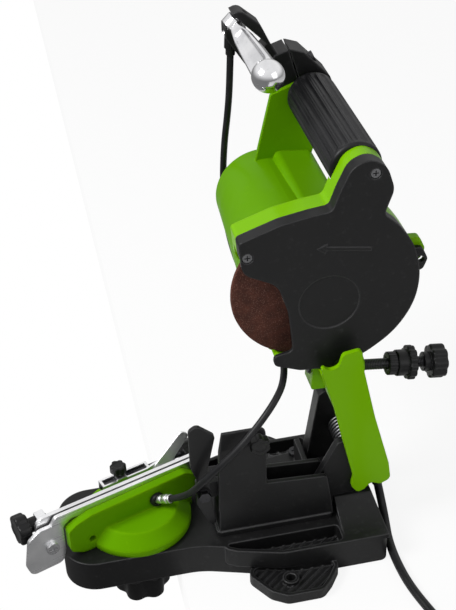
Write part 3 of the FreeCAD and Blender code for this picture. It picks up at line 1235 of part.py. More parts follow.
def cord_gland():
    """The bush in the arm's foot with its tapering strain relief."""
    top = GLAND_AT + AXIS_Z * 4
    collar = rod(top, AXIS_Z, 8.0, 3)
    body = rod(GLAND_AT, AXIS_Z, GLAND_RADIUS, 4)
    along = (GLAND_AT - CORD_START).normalize()
    start = CORD_START + along * RUNNING_FIT
    relief = cone(start, along, CORD_RADIUS + 0.8, 5.5, (GLAND_AT - start).Length)
    inside = box((GLAND_AT.x - 20, GLAND_AT.y - 20, GLAND_AT.z), (GLAND_AT.x + 20, GLAND_AT.y + 20, top.z))
    return fuse([collar, body, relief.cut(inside)])


CORD_START = Vector(83.0, -9.0, 28.0)


def depth_screw():
    """The long screw that sets how far the head comes down, with its end knob."""
    screw = rod(STOP_TIP, STOP_ALONG, STOP_SCREW_RADIUS, END_GRIP_AT)
    knob = lobed_knob(STOP_TIP + STOP_ALONG * END_GRIP_AT, STOP_ALONG, 12.5, 11, 8, 1.4)
    collar = rod(STOP_TIP + STOP_ALONG * (END_GRIP_AT - 5), STOP_ALONG, 7, 5)
    return fuse([screw, knob, collar])


def lock_ring():
    start = STOP_TIP + STOP_ALONG * RING_AT
    ring = rod(start, STOP_ALONG, 9.5, 8)
    grip = lobed_knob(start + STOP_ALONG * 8, STOP_ALONG, 12.5, 5.5, 12, 1.0)
    return fuse([ring, grip]).cut(rod(STOP_TIP, STOP_ALONG, STOP_SCREW_RADIUS + RUNNING_FIT, 100))


def stop_nut():
    """The nut that the lock ring carries on its near side."""
    nut = rod(STOP_TIP + STOP_ALONG * (RING_AT - NUT_LENGTH), STOP_ALONG, 8.5, NUT_LENGTH)
    return nut.cut(rod(STOP_TIP, STOP_ALONG, STOP_SCREW_RADIUS + RUNNING_FIT, 100))


RING_AT = 65.5                # along the depth screw, from its tip
NUT_LENGTH = 6.5
END_GRIP_AT = 91.0


# ======================= cords =======================

CABLE_EXIT = Vector(-0.05, 0, -1).normalize()
CABLE_TOP = Vector(8.5, 128.0, 332.0)


def brake_cable():
    """The casing of the cable, from the lever's perch to the sleeve in the vice."""
    start = CABLE_TOP + CABLE_EXIT * 5
    end = sleeve_mouth()
    points = [(start.x, start.y, start.z), (7, 128, 302), (5.5, 131.5, 279), (4, 140, 252),
              (3, 145, 222), (2.5, 145, 190), (6, 129, 160), (11, 94, 149), (14, 60, 147), (15, 29, 148),
              (14, 2, 149.5), (8, -20, 148), (0, -31, 143), (-12.5, -39.5, 133), (-29, -44.5, 117),
              (-46.5, -42.5, 98), (-58, -36, 80), (-66, -25.6, 63), (end.x, end.y, end.z)]
    return cord_tube("brake_cable", points, CABLE_RADIUS)


def sleeve_mouth():
    """The point just beyond the sleeve's open end, on the machine."""
    mouth = Vector(BUSH_X, VICE_NEAR_FACE - 1, BUSH_Z) + SLEEVE_AXIS * (SLEEVE_LENGTH + 2 * BODY_GAP)
    return on_vice(Part.Vertex(mouth)).Point


CORD_POINTS = [
    (CORD_START.x, CORD_START.y, CORD_START.z), (85.64, -10.98, 13.48), (84.5, -26, 5),
    (81, -45, CORD_RADIUS), (79.8, -67, CORD_RADIUS + 0.05), (81.5, -92, CORD_RADIUS),
    (88, -119, CORD_RADIUS), (97, -148, CORD_RADIUS), (108, -185, CORD_RADIUS)]


def power_cord():
    return cord_tube("power_cord", CORD_POINTS, CORD_RADIUS)


def cord_coil():
    """The rest of the cord, coiled flat beside the machine."""
    return pipe(COIL_CENTRE, AXIS_Z, COIL_RADIUS, COIL_RADIUS - COIL_WIDTH, COIL_HEIGHT)


def plug():
    start = COIL_CENTRE + Vector(5, -(COIL_RADIUS + PLUG_RADIUS + BODY_GAP), PLUG_RADIUS)
    body = rod(start, AXIS_X, PLUG_RADIUS, 34)
    neck = cone(start - AXIS_X * 16, AXIS_X, 4.2, 8.0, 16)
    pins = []
    for side in (-1, 1):
        pins.append(rod(start + AXIS_X * 33 + AXIS_Z * (side * 4.5), AXIS_X, 2.0, 19))
    return fuse([body, neck] + pins)


NODES = {
    "base": base, "hinge_bracket": hinge_bracket, "bracket_bolts": bracket_bolts,
    "stop_plate": stop_plate, "stop_plate_bolt": stop_plate_bolt, "hinge_pin": hinge_pin,
    "torsion_spring": torsion_spring, "tower_knob": tower_knob,
    "vice_body": vice_body, "turntable_stud": turntable_stud, "rail_near_plate": rail_near_plate,
    "rail_far_plate": rail_far_plate, "rail_screws": rail_screws, "end_knob": end_knob,
    "cable_ferrule": cable_ferrule, "clamp_lever": clamp_lever, "clamp_pin": clamp_pin,
    "stop_bracket": stop_bracket, "feed_screw": feed_screw, "feed_bearing": feed_bearing,
    "chain_pawl": chain_pawl, "pawl_pin": pawl_pin, "slide_knob": slide_knob, "lock_knob": lock_knob,
    "wheel_guard": wheel_guard, "guard_screws": guard_screws, "head_casting": head_casting,
    "motor_housing": motor_housing, "motor_screws": motor_screws, "stator": stator,
    "armature": armature, "commutator": commutator, "brush_holders": brush_holders,
    "cooling_fan": cooling_fan, "bearings": bearings, "motor_shaft": motor_shaft,
    "grinding_wheel": grinding_wheel, "inner_flange": inner_flange, "outer_flange": outer_flange,
    "wheel_nut": wheel_nut, "handle_tube": handle_tube, "handle_grip": handle_grip,
    "lever_bracket": lever_bracket, "clamp_half": clamp_half, "clamp_screw": clamp_screw,
    "lever_pin": lever_pin, "cable_adjuster": cable_adjuster, "brake_lever": brake_lever,
    "switch_body": switch_body, "switch_rocker": switch_rocker, "cord_gland": cord_gland,
    "depth_screw": depth_screw, "lock_ring": lock_ring, "stop_nut": stop_nut,
    "brake_cable": brake_cable, "power_cord": power_cord, "cord_coil": cord_coil, "plug": plug}


def main():
    os.makedirs("parts", exist_ok=True)
    for name, make in NODES.items():
        shape = make()
        if not shape.isValid() or shape.Volume < 1:
            print("CHECK", name, shape.isValid(), shape.Volume)
        if len(shape.Solids) != 1:
            print("solids", name, len(shape.Solids))
        shape.exportStep("parts/" + name + ".step")


main()
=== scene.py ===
# %% [markdown]
# # A bench sharpener for saw chains
# The machine is a black base with a turning vice in front and a grinding head that swings
# down on a hinge behind it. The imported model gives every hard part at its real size. What
# follows gives those parts their finish, and models what a machinist's model leaves plain:
# cables, the wire spring, the grit of the disc, threads, knobs and the rubber grip.

# %% Load the frame
import math

import bmesh
import bpy
import numpy as np
from mathutils import Matrix, Vector


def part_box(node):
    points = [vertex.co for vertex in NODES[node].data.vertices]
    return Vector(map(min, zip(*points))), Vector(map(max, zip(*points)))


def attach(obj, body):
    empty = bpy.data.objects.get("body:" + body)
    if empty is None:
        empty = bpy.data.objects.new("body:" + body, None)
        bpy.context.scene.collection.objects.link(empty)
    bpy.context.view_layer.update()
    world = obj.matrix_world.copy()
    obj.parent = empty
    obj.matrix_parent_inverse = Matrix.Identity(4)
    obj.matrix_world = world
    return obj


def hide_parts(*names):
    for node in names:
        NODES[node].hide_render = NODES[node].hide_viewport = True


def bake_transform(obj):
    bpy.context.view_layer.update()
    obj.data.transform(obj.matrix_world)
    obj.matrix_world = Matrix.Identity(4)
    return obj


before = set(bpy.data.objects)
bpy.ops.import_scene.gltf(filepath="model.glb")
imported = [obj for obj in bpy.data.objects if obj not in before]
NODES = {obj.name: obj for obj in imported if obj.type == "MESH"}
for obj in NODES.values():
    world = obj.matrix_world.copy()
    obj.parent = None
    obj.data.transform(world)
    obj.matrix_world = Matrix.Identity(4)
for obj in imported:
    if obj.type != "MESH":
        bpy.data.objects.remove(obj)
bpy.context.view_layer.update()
MM = 0.001
X, Y, Z = np.eye(3)

# %% [markdown]
# ## The camera
# The machine is seen from the operator's side, from well above. The camera is a long lens
# a metre away, tipped down and rolled a little. It is placed by one point: the centre of
# the turntable has to fall on a known pixel at a known distance.

# %% Camera
IMAGE_SIZE = (456, 610)
SENSOR_WIDTH = 36.0
FOCAL_PIXELS = 1300.0
AZIMUTH = math.radians(-11.0)
ELEVATION = math.radians(35.0)
ROLL = math.radians(2.2)
AIM_POINT = np.array([-0.100, 0.0, 0.0255])
AIM_PIXEL = (137.0, 518.0)
AIM_DEPTH = 0.9646


def camera_axes(azimuth, elevation, roll):
    """Unit vectors to the right, up and back of a camera that turns, tips and rolls."""
    sin_a, cos_a = math.sin(azimuth), math.cos(azimuth)
    sin_e, cos_e = math.sin(elevation), math.cos(elevation)
    level = np.array([cos_a, sin_a, 0.0])
    steep = np.array([-sin_a * sin_e, cos_a * sin_e, cos_e])
    back = np.array([sin_a * cos_e, -cos_a * cos_e, sin_e])
    right = math.cos(roll) * level - math.sin(roll) * steep
    up = math.sin(roll) * level + math.cos(roll) * steep
    return right, up, back


right, up, back = camera_axes(AZIMUTH, ELEVATION, ROLL)
aside = (AIM_PIXEL[0] - IMAGE_SIZE[0] / 2) / FOCAL_PIXELS
below = (AIM_PIXEL[1] - IMAGE_SIZE[1] / 2) / FOCAL_PIXELS
eye = AIM_POINT - AIM_DEPTH * (aside * right - below * up - back)
camera = bpy.data.objects.new("camera", bpy.data.cameras.new("camera"))
turn = Matrix(np.stack([right, up, back], 1).tolist()).to_4x4()
camera.matrix_world = Matrix.Translation(Vector(eye)) @ turn
camera.data.sensor_width = SENSOR_WIDTH
camera.data.lens = FOCAL_PIXELS * SENSOR_WIDTH / max(IMAGE_SIZE)
bpy.context.scene.collection.objects.link(camera)
bpy.context.scene.camera = camera
print("camera at", np.round(eye, 3).tolist(), "lens", round(camera.data.lens, 1))

# %% [markdown]
# ## Writing a material as arithmetic
# A finish could be wired by hand in the node editor. Written as arithmetic it is shorter
# and easier to read: a Value stands for a socket, and adding or multiplying two of them
# adds the Math node that does it. Every other node comes from one method, node().


# %% Values and finishes
class Value:
    """A socket that can be added, multiplied and compared like a number."""

    def __init__(self, nodes, socket):
        self.nodes = nodes
        self.socket = socket

    def math(self, operation, first, second):
        return self.nodes.node("ShaderNodeMath", {"operation": operation}, {0: first, 1: second})

    def __add__(self, other):
        return self.math("ADD", self, other)

    def __sub__(self, other):
        return self.math("SUBTRACT", self, other)

    def __mul__(self, other):
        return self.math("MULTIPLY", self, other)

    def __truediv__(self, other):
        return self.math("DIVIDE", self, other)

    def __rsub__(self, other):
        return self.math("SUBTRACT", other, self)

    def __rtruediv__(self, other):
        return self.math("DIVIDE", other, self)

    __radd__ = __add__
    __rmul__ = __mul__

    def between(self, low, high, to_low=0.0, to_high=1.0):
        """The value carried smoothly from the span low..high to the span to_low..to_high."""
        settings = {"interpolation_type": "SMOOTHSTEP"}
        inputs = {"Value": self, "From Min": low, "From Max": high, "To Min": to_low, "To Max": to_high}
        return self.nodes.node("ShaderNodeMapRange", settings, inputs)


class Nodes:
    """The nodes of a material or of the world."""

    def __init__(self, tree):
        self.tree = tree

    def node(self, kind, settings=None, inputs=None, output=0):
        """Adds a node: first its settings, then the values or links of its sockets."""
        made = self.tree.nodes.new(kind)
        for key, value in (settings or {}).items():
            setattr(made, key, value)
        for key, value in (inputs or {}).items():
            if isinstance(value, Value):
                self.tree.links.new(value.socket, made.inputs[key])
            else:
                made.inputs[key].default_value = value
        return Value(self, made.outputs[output])

    def end(self, value, last):
        """Links a value to the surface of the last node."""
        self.tree.links.new(value.socket, self.tree.nodes[last].inputs["Surface"])


class Finish(Nodes):
    """A material in the making: its Principled shader and the nodes that feed it."""

    def __init__(self, name, **constants):
        self.material = bpy.data.materials.new(name)
        self.material.use_nodes = True
        super().__init__(self.material.node_tree)
        self.shader = self.tree.nodes["Principled BSDF"]
        for socket, value in constants.items():
            self.shader.inputs[socket.replace("_", " ")].default_value = value

    def place(self, scale=(1, 1, 1), turn=(0, 0, 0), offset=(0, 0, 0)):
        """Object coordinates, moved to offset, turned and stretched."""
        where = self.node("ShaderNodeTexCoord", output="Object")
        return self.node("ShaderNodeMapping", {"vector_type": "TEXTURE"}, {
            "Vector": where, "Location": offset, "Rotation": turn, "Scale": scale})

    def noise(self, scale, detail=2.0, place=None, rough=0.5):
        """Cloudy noise from 0 to 1 with features about 1/scale metres across."""
        return self.node("ShaderNodeTexNoise", None, {
            "Vector": place or self.place(), "Scale": scale, "Detail": detail, "Roughness": rough})

    def mix(self, share, first, second):
        """A colour between first and second; share is 0 for the first."""
        settings = {"data_type": "RGBA"}
        return self.node("ShaderNodeMix", settings, {0: share, 6: first, 7: second}, output=2)

    def edges(self, radius, samples=4):
        """The surface's direction, rounded over within radius of each edge."""
        return self.node("ShaderNodeBevel", {"samples": samples}, {"Radius": radius})

    def edge_highlight_mask(self, rounded):
        """A mask that is 1 on an edge, where the rounded direction leaves the flat one: it places the painted
        highlight.
        """
        flat = self.node("ShaderNodeNewGeometry", output="Normal")
        same = self.node("ShaderNodeVectorMath", {"operation": "DOT_PRODUCT"}, {0: rounded, 1: flat}, "Value")
        return (1 - same).between(0.01, 0.14)

    def bump(self, height, distance, normal=None):
        """The surface's direction, tilted by a height of which 1 stands for distance in metres."""
        inputs = {"Height": height, "Distance": distance}
        if normal:
            inputs["Normal"] = normal
        return self.node("ShaderNodeBump", None, inputs)

    def use(self, **links):
        """Links values to the shader's sockets and gives back the finished material."""
        for socket, value in links.items():
            self.tree.links.new(value.socket, self.shader.inputs[socket.replace("_", " ")])
        return self.material


print("a Value adds nodes when it is used in arithmetic")

# %% [markdown]
# ## Moulded plastic
# The base, the hinge block and the guard are one black moulding compound, pressed in a
# tool with a fine spark grain. On the real parts the grain scatters light, so that flat
# faces look charcoal and rounded edges catch a pale line of light; here that line is a
# painted highlight, a paler colour on the edges. The finish has a grain about 0.4 mm
# wide, wide patches of more and less gloss, and edges rounded in the shading, with a
# little dust in the grain in the same paler colour. The motor's cover and the vice are a
# darker copy of the arm's green, as painted shade; the vice has softer edges, and a
# green shine keeps the colour of both deep.


# %% Plastics
def colour(red, green, blue):
    """A linear colour, fully opaque."""
    return (red, green, blue, 1.0)


WHITE = colour(1.0, 1.0, 1.0)


def moulded(name, tint, highlight_and_dust, gloss, grain, radius, level=0.2, shine=WHITE):
    """Satin plastic: tint in the flat, a paler colour on the edges as a painted highlight and in the dust, a
    spark grain of the given height.

    share of the paler colour = (0.75 * edge + dust) * patch; roughness = gloss, changed by patch, dust and
    grain
    """
    finish = Finish(name, Specular_IOR_Level=level, Specular_Tint=shine)
    place = finish.place()
    rounded = finish.edges(radius, 6)
    edge = finish.edge_highlight_mask(rounded)
    patch = finish.noise(38.0, 3.0, place)
    spark = finish.noise(2600.0, 2.0, place)
    dust = finish.noise(210.0, 5.0, place, 0.65).between(0.55, 0.78, 0.0, 0.22)
    # The paler colour on the edges is a painted highlight; the dust takes the same colour.
    base = finish.mix((edge * 0.75 + dust) * patch.between(0.3, 0.7, 0.6, 1.0), tint, highlight_and_dust)
    rough = patch.between(0.3, 0.7, gloss - 0.05, gloss + 0.07) + dust * 0.35 + spark * 0.05
    return finish.use(Base_Color=base, Roughness=rough, Normal=finish.bump(spark, grain, rounded))


# Each paler colour after a base colour is a painted highlight on the edges, and in the mouldings it is also
# the colour of the dust.
BLACK = colour(0.0080, 0.0080, 0.0083)
BLACK_HIGHLIGHT_AND_DUST = colour(0.075, 0.075, 0.077)
GREEN = colour(0.180, 0.440, 0.001)
GREEN_HIGHLIGHT = colour(0.30, 0.62, 0.003)
# The motor's cover and the vice take a darker copy of the green as painted shade, with a paler copy for the
# painted highlight on their edges and for dust.
SHADED_GREEN = colour(0.110, 0.300, 0.001)
SHADED_GREEN_HIGHLIGHT_AND_DUST = colour(0.19, 0.44, 0.003)
GREEN_SHINE = colour(0.45, 1.0, 0.05)
black_plastic = moulded("black_plastic", BLACK, BLACK_HIGHLIGHT_AND_DUST, 0.38, 0.000012, 0.0018)
black_knob = moulded("black_knob", BLACK, BLACK_HIGHLIGHT_AND_DUST, 0.32, 0.000006, 0.0005)
SHADED_GREENS = (SHADED_GREEN, SHADED_GREEN_HIGHLIGHT_AND_DUST)
green_plastic = moulded("green_plastic", *SHADED_GREENS, 0.38, 0.000004, 0.0014, 0.06, GREEN_SHINE)
soft_green = moulded("soft_green", *SHADED_GREENS, 0.40, 0.000004, 0.0040, 0.06, GREEN_SHINE)
print("plastics:", [m.name for m in (black_plastic, black_knob, green_plastic, soft_green)])

# %% [markdown]
# ## Green paint
# The swinging arm is a casting under a thick coat of paint. Paint draws away from edges,
# so the clear coat is thinner there, and the edges take a paler colour as a painted highlight.
# It dries with a faint orange peel a few millimetres wide, under a clear gloss.

# %% Paint
def painted(name, tint, highlight_and_dust, rough, level=0.2, shine=WHITE):
    """Gloss paint under a clear coat, with a paler colour on the edges as a painted highlight: orange peel =
    0.7 of a wide ripple + 0.3 of a narrow one.
    """
    finish = Finish(name, Coat_Roughness=0.12, Specular_IOR_Level=level, Specular_Tint=shine)
    place = finish.place()
    rounded = finish.edges(0.0014)
    edge = finish.edge_highlight_mask(rounded)
    peel = finish.noise(420.0, 2.0, place) * 0.7 + finish.noise(1500.0, 1.0, place) * 0.3
    cloud = finish.noise(24.0, 3.0, place)
    # The paler colour on the edges is a painted highlight.
    base = finish.mix(edge * 0.6 * cloud.between(0.35, 0.65, 0.5, 1.0), tint, highlight_and_dust)
    return finish.use(
        Base_Color=base, Roughness=cloud.between(0.3, 0.7, rough, rough + 0.1),
        Coat_Weight=0.10 - edge * 0.06, Normal=finish.bump(peel, 0.00006, rounded))


green_paint = painted("green_paint", GREEN, GREEN_HIGHLIGHT, 0.3, 0.08, GREEN_SHINE)
black_coat = painted("black_coat", BLACK, BLACK_HIGHLIGHT_AND_DUST, 0.38)
print("paints:", green_paint.name, black_coat.name)

# %% [markdown]
# ## Bare and plated metal
# The vice's rail and the chain stop are sheet steel with bright zinc: rolled along the
# rail, so the fine lines run that way, turned 19 degrees with the vice. Screws and pins
# are turned bar. The lever is polished cast aluminium with soft ripples from the buffing
# wheel. All are metals, so their colour is the colour of their reflection.

# %% Metals
VICE_TURN = math.radians(19.0)
METAL_EDGE = 0.0004


def metal(name, tint, shade, rough, lines=(1, 1, 1), turn=0.0, ripple=0.000004):
    """Metal with brushed lines: lines is how far a mark is drawn out along each axis."""
    finish = Finish(name, Metallic=1.0)
    rounded = finish.edges(METAL_EDGE)
    brushed = finish.noise(900.0, 3.0, finish.place(scale=lines, turn=(0, 0, turn)))
    cloud = finish.noise(60.0, 3.0)
    spots = finish.noise(340.0, 4.0).between(0.62, 0.75)
    base = finish.mix(cloud.between(0.35, 0.7) * 0.6 + spots * 0.4, tint, shade)
    gloss = brushed.between(0.2, 0.8, rough, rough * 1.6 + 0.04) + spots * 0.12
    return finish.use(Base_Color=base, Roughness=gloss, Normal=finish.bump(brushed, ripple, rounded))


zinc = metal("bright_zinc", colour(0.86, 0.86, 0.87), colour(0.66, 0.665, 0.68), 0.24, (40, 1, 1), VICE_TURN,
             ripple=0.0000015)
satin_zinc = metal("satin_zinc", colour(0.84, 0.84, 0.85), colour(0.62, 0.625, 0.64), 0.42, ripple=0.0000015)
steel = metal("turned_steel", colour(0.62, 0.62, 0.63), colour(0.42, 0.42, 0.43), 0.22)
spring_wire = metal("spring_wire", colour(0.15, 0.15, 0.155), colour(0.07, 0.07, 0.072), 0.26)
aluminium = metal("polished_aluminium", colour(0.78, 0.78, 0.79), colour(0.58, 0.58, 0.60), 0.10, (1, 8, 1),
                  ripple=0.000008)
dark_steel = metal("blackened_steel", colour(0.045, 0.045, 0.048), colour(0.02, 0.02, 0.022), 0.28)
copper = metal("copper", colour(0.62, 0.27, 0.13), colour(0.38, 0.15, 0.07), 0.25)
brass = metal("brass", colour(0.66, 0.47, 0.18), colour(0.42, 0.29, 0.10), 0.26)
print("metals:", [m.name for m in (zinc, satin_zinc, steel, spring_wire, aluminium, dark_steel)])


# %% Laminated iron
SHEET = 0.00025


def laminated(name):
    """Thin sheets stacked along Y: one dark line every two sheets, which is half a millimetre."""
    finish = Finish(name, Metallic=1.0)
    place = finish.place()
    along = finish.node("ShaderNodeSeparateXYZ", None, {0: place}, output=1)
    stack = finish.node("ShaderNodeMath", {"operation": "PINGPONG"}, {0: along, 1: SHEET}) / SHEET
    cloud = finish.noise(90.0, 3.0, place)
    base = finish.mix(stack.between(0.0, 0.25), colour(0.05, 0.045, 0.04), colour(0.36, 0.34, 0.32))
    return finish.use(Base_Color=base, Roughness=cloud.between(0.3, 0.7, 0.3, 0.5),
                      Normal=finish.bump(stack, 0.00008))


iron = laminated("laminated_iron")
print("iron:", iron.name)

# %% [markdown]
# ## The abrasive
# The disc is red-brown corundum held in resin. Grains about 0.4 mm across stand proud of
# the bond: most are the colour of brick, and one in ten is pale and smoother.
# Round cells give the grains, and their height makes the bump.


# %% Grit
GRAINS_PER_METRE = 2400.0


def abrasive(name):
    """Grains as round cells: the bond shows dark between them, and one in ten is pale."""
    finish = Finish(name, Specular_IOR_Level=0.35)
    place = finish.place()
    where = {"Vector": place, "Scale": GRAINS_PER_METRE}
    cells = finish.node("ShaderNodeTexVoronoi", {"feature": "F1"}, where)
    pick = finish.node("ShaderNodeTexVoronoi", {"feature": "F1"}, where, "Color")
    fine = finish.noise(5200.0, 2.0, place)
    kind = finish.node("ShaderNodeSeparateColor", None, {0: pick})
    cloud = finish.noise(120.0, 4.0, place)
    body = finish.mix(cloud.between(0.3, 0.7), colour(0.062, 0.019, 0.011), colour(0.118, 0.036, 0.021))
    grains = finish.mix(kind.between(0.86, 0.94), body, colour(0.22, 0.10, 0.07))
    base = finish.mix(cells.between(0.25, 0.75) * 0.7, grains, colour(0.035, 0.011, 0.008))
    height = (1 - cells) * 0.7 + fine * 0.3
    return finish.use(Base_Color=base, Roughness=kind.between(0.8, 1.0, 0.9, 0.55),
                      Normal=finish.bump(height, 0.00018))


grit = abrasive("brown_grit")
print("abrasive:", grit.name)

# %% [markdown]
# ## Rubber and cable sheath
# The grip is soft black rubber, dull with a bloom that lies in patches. The cables wear
# smooth PVC: blacker and shinier, with slow swellings along the length and fine scuffs.


# %% Rubber
def rubber(name, tint, bloom, gloss, grain, scuff=0.3):
    """Rubber with a pale bloom in patches and short scuffs."""
    finish = Finish(name, Specular_IOR_Level=0.2)
    place = finish.place()
    cloud = finish.noise(70.0, 4.0, place)
    scuffs = finish.noise(650.0, 5.0, place, 0.7).between(0.6, 0.74) * scuff
    skin = finish.noise(3200.0, 2.0, place)
    base = finish.mix(cloud.between(0.35, 0.75) * 0.5 + scuffs, tint, bloom)
    rough = cloud.between(0.3, 0.7, gloss, gloss + 0.12) + scuffs * 0.3
    return finish.use(Base_Color=base, Roughness=rough, Normal=finish.bump(skin, grain))


grip_rubber = rubber("grip_rubber", colour(0.008, 0.008, 0.009), colour(0.022, 0.022, 0.023), 0.34, 0.00002)
sheath = rubber("cable_sheath", colour(0.009, 0.009, 0.010), colour(0.022, 0.022, 0.023), 0.34, 0.000008, 0.2)
print("rubbers:", grip_rubber.name, sheath.name)

# %% [markdown]
# ## Finishes of the machined nodes
# Each node of the model whose shape is right as it is takes its finish here. The few
# that get a finer shape are replaced further on.

# %% Finishes of the nodes
FINISHES = (
    (black_plastic, ("base", "hinge_bracket", "wheel_guard", "lever_bracket", "clamp_half", "switch_body",
                     "switch_rocker", "cord_gland", "cooling_fan")),
    (black_coat, ("stop_plate",)),
    (green_plastic, ("motor_housing",)),
    (soft_green, ("vice_body",)),
    (green_paint, ("head_casting",)),
    (zinc, ("rail_near_plate", "rail_far_plate", "stop_bracket", "feed_bearing")),
    (satin_zinc, ("chain_pawl",)),
    (steel, ("hinge_pin", "turntable_stud", "rail_screws", "clamp_lever",
             "clamp_pin", "pawl_pin", "bearings", "motor_shaft", "inner_flange", "outer_flange", "wheel_nut",
             "handle_tube", "lever_pin", "motor_screws")),
    # The guard's screws take the dark spring steel although their heads are bright: the darkness is painted
    # shade of the recesses they sit in.
    (spring_wire, ("guard_screws",)),
    (dark_steel, ("bracket_bolts", "clamp_screw", "stop_plate_bolt")),
    (iron, ("stator", "armature")),
    (copper, ("commutator",)),
    (brass, ("brush_holders",)),
)
for material, names in FINISHES:
    for name in names:
        NODES[name].data.materials.clear()
        NODES[name].data.materials.append(material)
print(sum(len(names) for _, names in FINISHES), "nodes keep their own shape")

# %% [markdown]
# ## Surfaces from numbers
# Each new piece is a grid of points: rings of points along a line, worked out for all of
# them at once. One function turns such a grid into a closed mesh. Another carries a
# profile round an axis, with finger hollows for a knob, and a third rounds the corners
# of a profile the way a moulder's tool does.


# %% Helpers for surfaces
def unit(vector):
    """The vector at length 1."""
    return np.asarray(vector, float) / np.linalg.norm(vector)


def piece(name, mesh, body, finish, nodes=(), sharp=38.0):
    """A finished piece: its mesh, smooth shading, finish, body, and the nodes it stands for."""
    obj = bpy.data.objects.new(name, mesh)
    bpy.context.scene.collection.objects.link(obj)
    mesh.name = name
    mesh.materials.clear()
    mesh.materials.append(finish)
    mesh.shade_smooth()
    mesh.set_sharp_from_angle(angle=math.radians(sharp))
    if body:
        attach(obj, body)
    if nodes:
        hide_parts(*nodes)
    print(name, len(mesh.polygons), "faces")
    return obj


def surface(points, ring=False):
    """A closed mesh over rings of points, given in mm: (rings, points of a ring, 3).

    Faces join each ring to the next. The last ring joins the first where ring is true, and
    otherwise the two end rings are filled; a ring of no width becomes a pole.
    """
    rings, count = points.shape[:2]
    index = np.arange(rings * count).reshape(rings, count)
    start = index if ring else index[:-1]
    after = np.roll(index, -1, axis=0) if ring else index[1:]
    quads = np.stack([start, np.roll(start, -1, 1), np.roll(after, -1, 1), after], -1).reshape(-1, 4)
    faces = quads.tolist()
    if not ring:
        faces += [index[0, ::-1].tolist(), index[-1].tolist()]
    mesh = bpy.data.meshes.new("surface")
    mesh.from_pydata((points.reshape(-1, 3) * MM).tolist(), [], faces)
    work = bmesh.new()
    work.from_mesh(mesh)
    bmesh.ops.remove_doubles(work, verts=work.verts, dist=1e-7)
    bmesh.ops.recalc_face_normals(work, faces=work.faces)
    work.to_mesh(mesh)
    work.free()
    return mesh


def rounded(profile, radius, steps=5):
    """A profile whose corners are quadratic curves that start and end radius away from them."""
    corners = np.array(profile, float)
    here = corners[1:-1]

    def toward(other):
        gap = other - here
        length = np.linalg.norm(gap, axis=1, keepdims=True)
        return here + gap / np.maximum(length, 1e-9) * np.minimum(radius, 0.45 * length)

    first, last = toward(corners[:-2]), toward(corners[2:])
    s = np.linspace(0, 1, steps)[None, :, None]
    curve = (1 - s) ** 2 * first[:, None] + 2 * s * (1 - s) * here[:, None] + s ** 2 * last[:, None]
    return np.concatenate([corners[:1], curve.reshape(-1, corners.shape[1]), corners[-1:]])


def spokes(axis, around):
    """Unit vectors round an axis, the first one level."""
    axis = unit(axis)
    side = np.cross(axis, Z)
    side = unit(side if np.linalg.norm(side) > 0.1 else np.cross(axis, X))
    angle = np.arange(around) * 2 * math.pi / around
    return angle, np.cos(angle)[:, None] * side + np.sin(angle)[:, None] * np.cross(axis, side)


def turned(start, axis, profile, lobes=0, depth=0.0, around=72, ring=False):
    """A turned shape: the profile is (distance along the axis, radius, share of the hollows) in mm.

    radius = r - depth * share * ((1 + cos(lobes * angle)) / 2) ^ 1.5
    """
    profile = np.array([(*p, 0.0)[:3] for p in profile], float)
    angle, out = spokes(axis, around)
    hollow = ((1 + np.cos(lobes * angle)) / 2) ** 1.5 * depth
    radius = profile[:, 1, None] - profile[:, 2, None] * hollow
    centre = np.asarray(start, float) + profile[:, 0, None] * unit(axis)
    return surface(centre[:, None] + radius[..., None] * out, ring)


VICE_PLACE = np.array([-100.0, 0.0, 0.0])


def on_vice(point, direction=False):
    """A point or direction of the vice's own frame, turned and moved to its place."""
    sin_v, cos_v = math.sin(VICE_TURN), math.cos(VICE_TURN)
    x, y, z = point
    placed = np.array([x * cos_v - y * sin_v, x * sin_v + y * cos_v, z])
    return placed if direction else placed + VICE_PLACE


def grip_profile(start, height, radius, edge=1.6, neck=None, dish=0.5):
    """A knob's profile: a neck if there is one, rounded edges, and a shallow dish on top."""
    stem = [(0.0, 0.0), (0.0, neck), (start, neck)] if neck else [(start, 0.0)]
    stem = [(*p, 0.0) for p in stem]
    top = start + height
    knob = [(start, radius, 1.0), (top, radius, 1.0), (top, radius * 0.62, 0.3),
            (top - dish, radius * 0.5, 0.0), (top - dish, 0.0, 0.0)]
    return rounded(stem + knob, edge)


print("helpers: piece, surface, rounded, turned")

# %% [markdown]
# ## Knobs
# The machine has six black knobs with round hollows for the fingers. Four are made here,
# and the other two with their screws. The model cuts plain hollows; here they have the
# soft edges and dished tops of moulded ones.

# %% Knobs
END_KNOB = on_vice((-66.5, 12.0, 50.0))
LEFT = on_vice((-1, 0, 0), direction=True)
RAIL_WAY = on_vice((1, 0, 0), direction=True)
piece("end_knob_grip", turned(END_KNOB, LEFT, np.concatenate([
    rounded([(-1.5, 0, 0), (-1.5, 4.5, 0), (0.3, 4.5, 0), (0.3, 3.0, 0), (6.8, 3.0, 0), (6.8, 5.4, 0),
             (12.6, 5.4, 0)], 0.4),
    rounded([(12.8, 5.4, 0), (13.5, 11.5, 1.0), (22.5, 11.5, 1.0), (22.5, 7.0, 0.3), (22.0, 5.5, 0),
             (22.0, 0, 0)], 1.8)]),
    6, 1.9, 96), "end_knob", black_knob, ("end_knob",))
piece("lock_knob_grip", turned((-100, 0, -0.3), -Z, np.concatenate([
    rounded([(0, 5.05, 0), (0, 10.5, 0), (21.2, 10.5, 0)], 0.6),
    rounded([(21.7, 10.5, 0), (21.9, 21.0, 1.0), (41.7, 21.0, 1.0), (41.7, 14.0, 0.3), (40.5, 12.0, 0),
             (40.5, 5.05, 0)], 2.4)]),
    6, 3.5, 120, ring=True), "lock_knob", black_knob, ("lock_knob",))
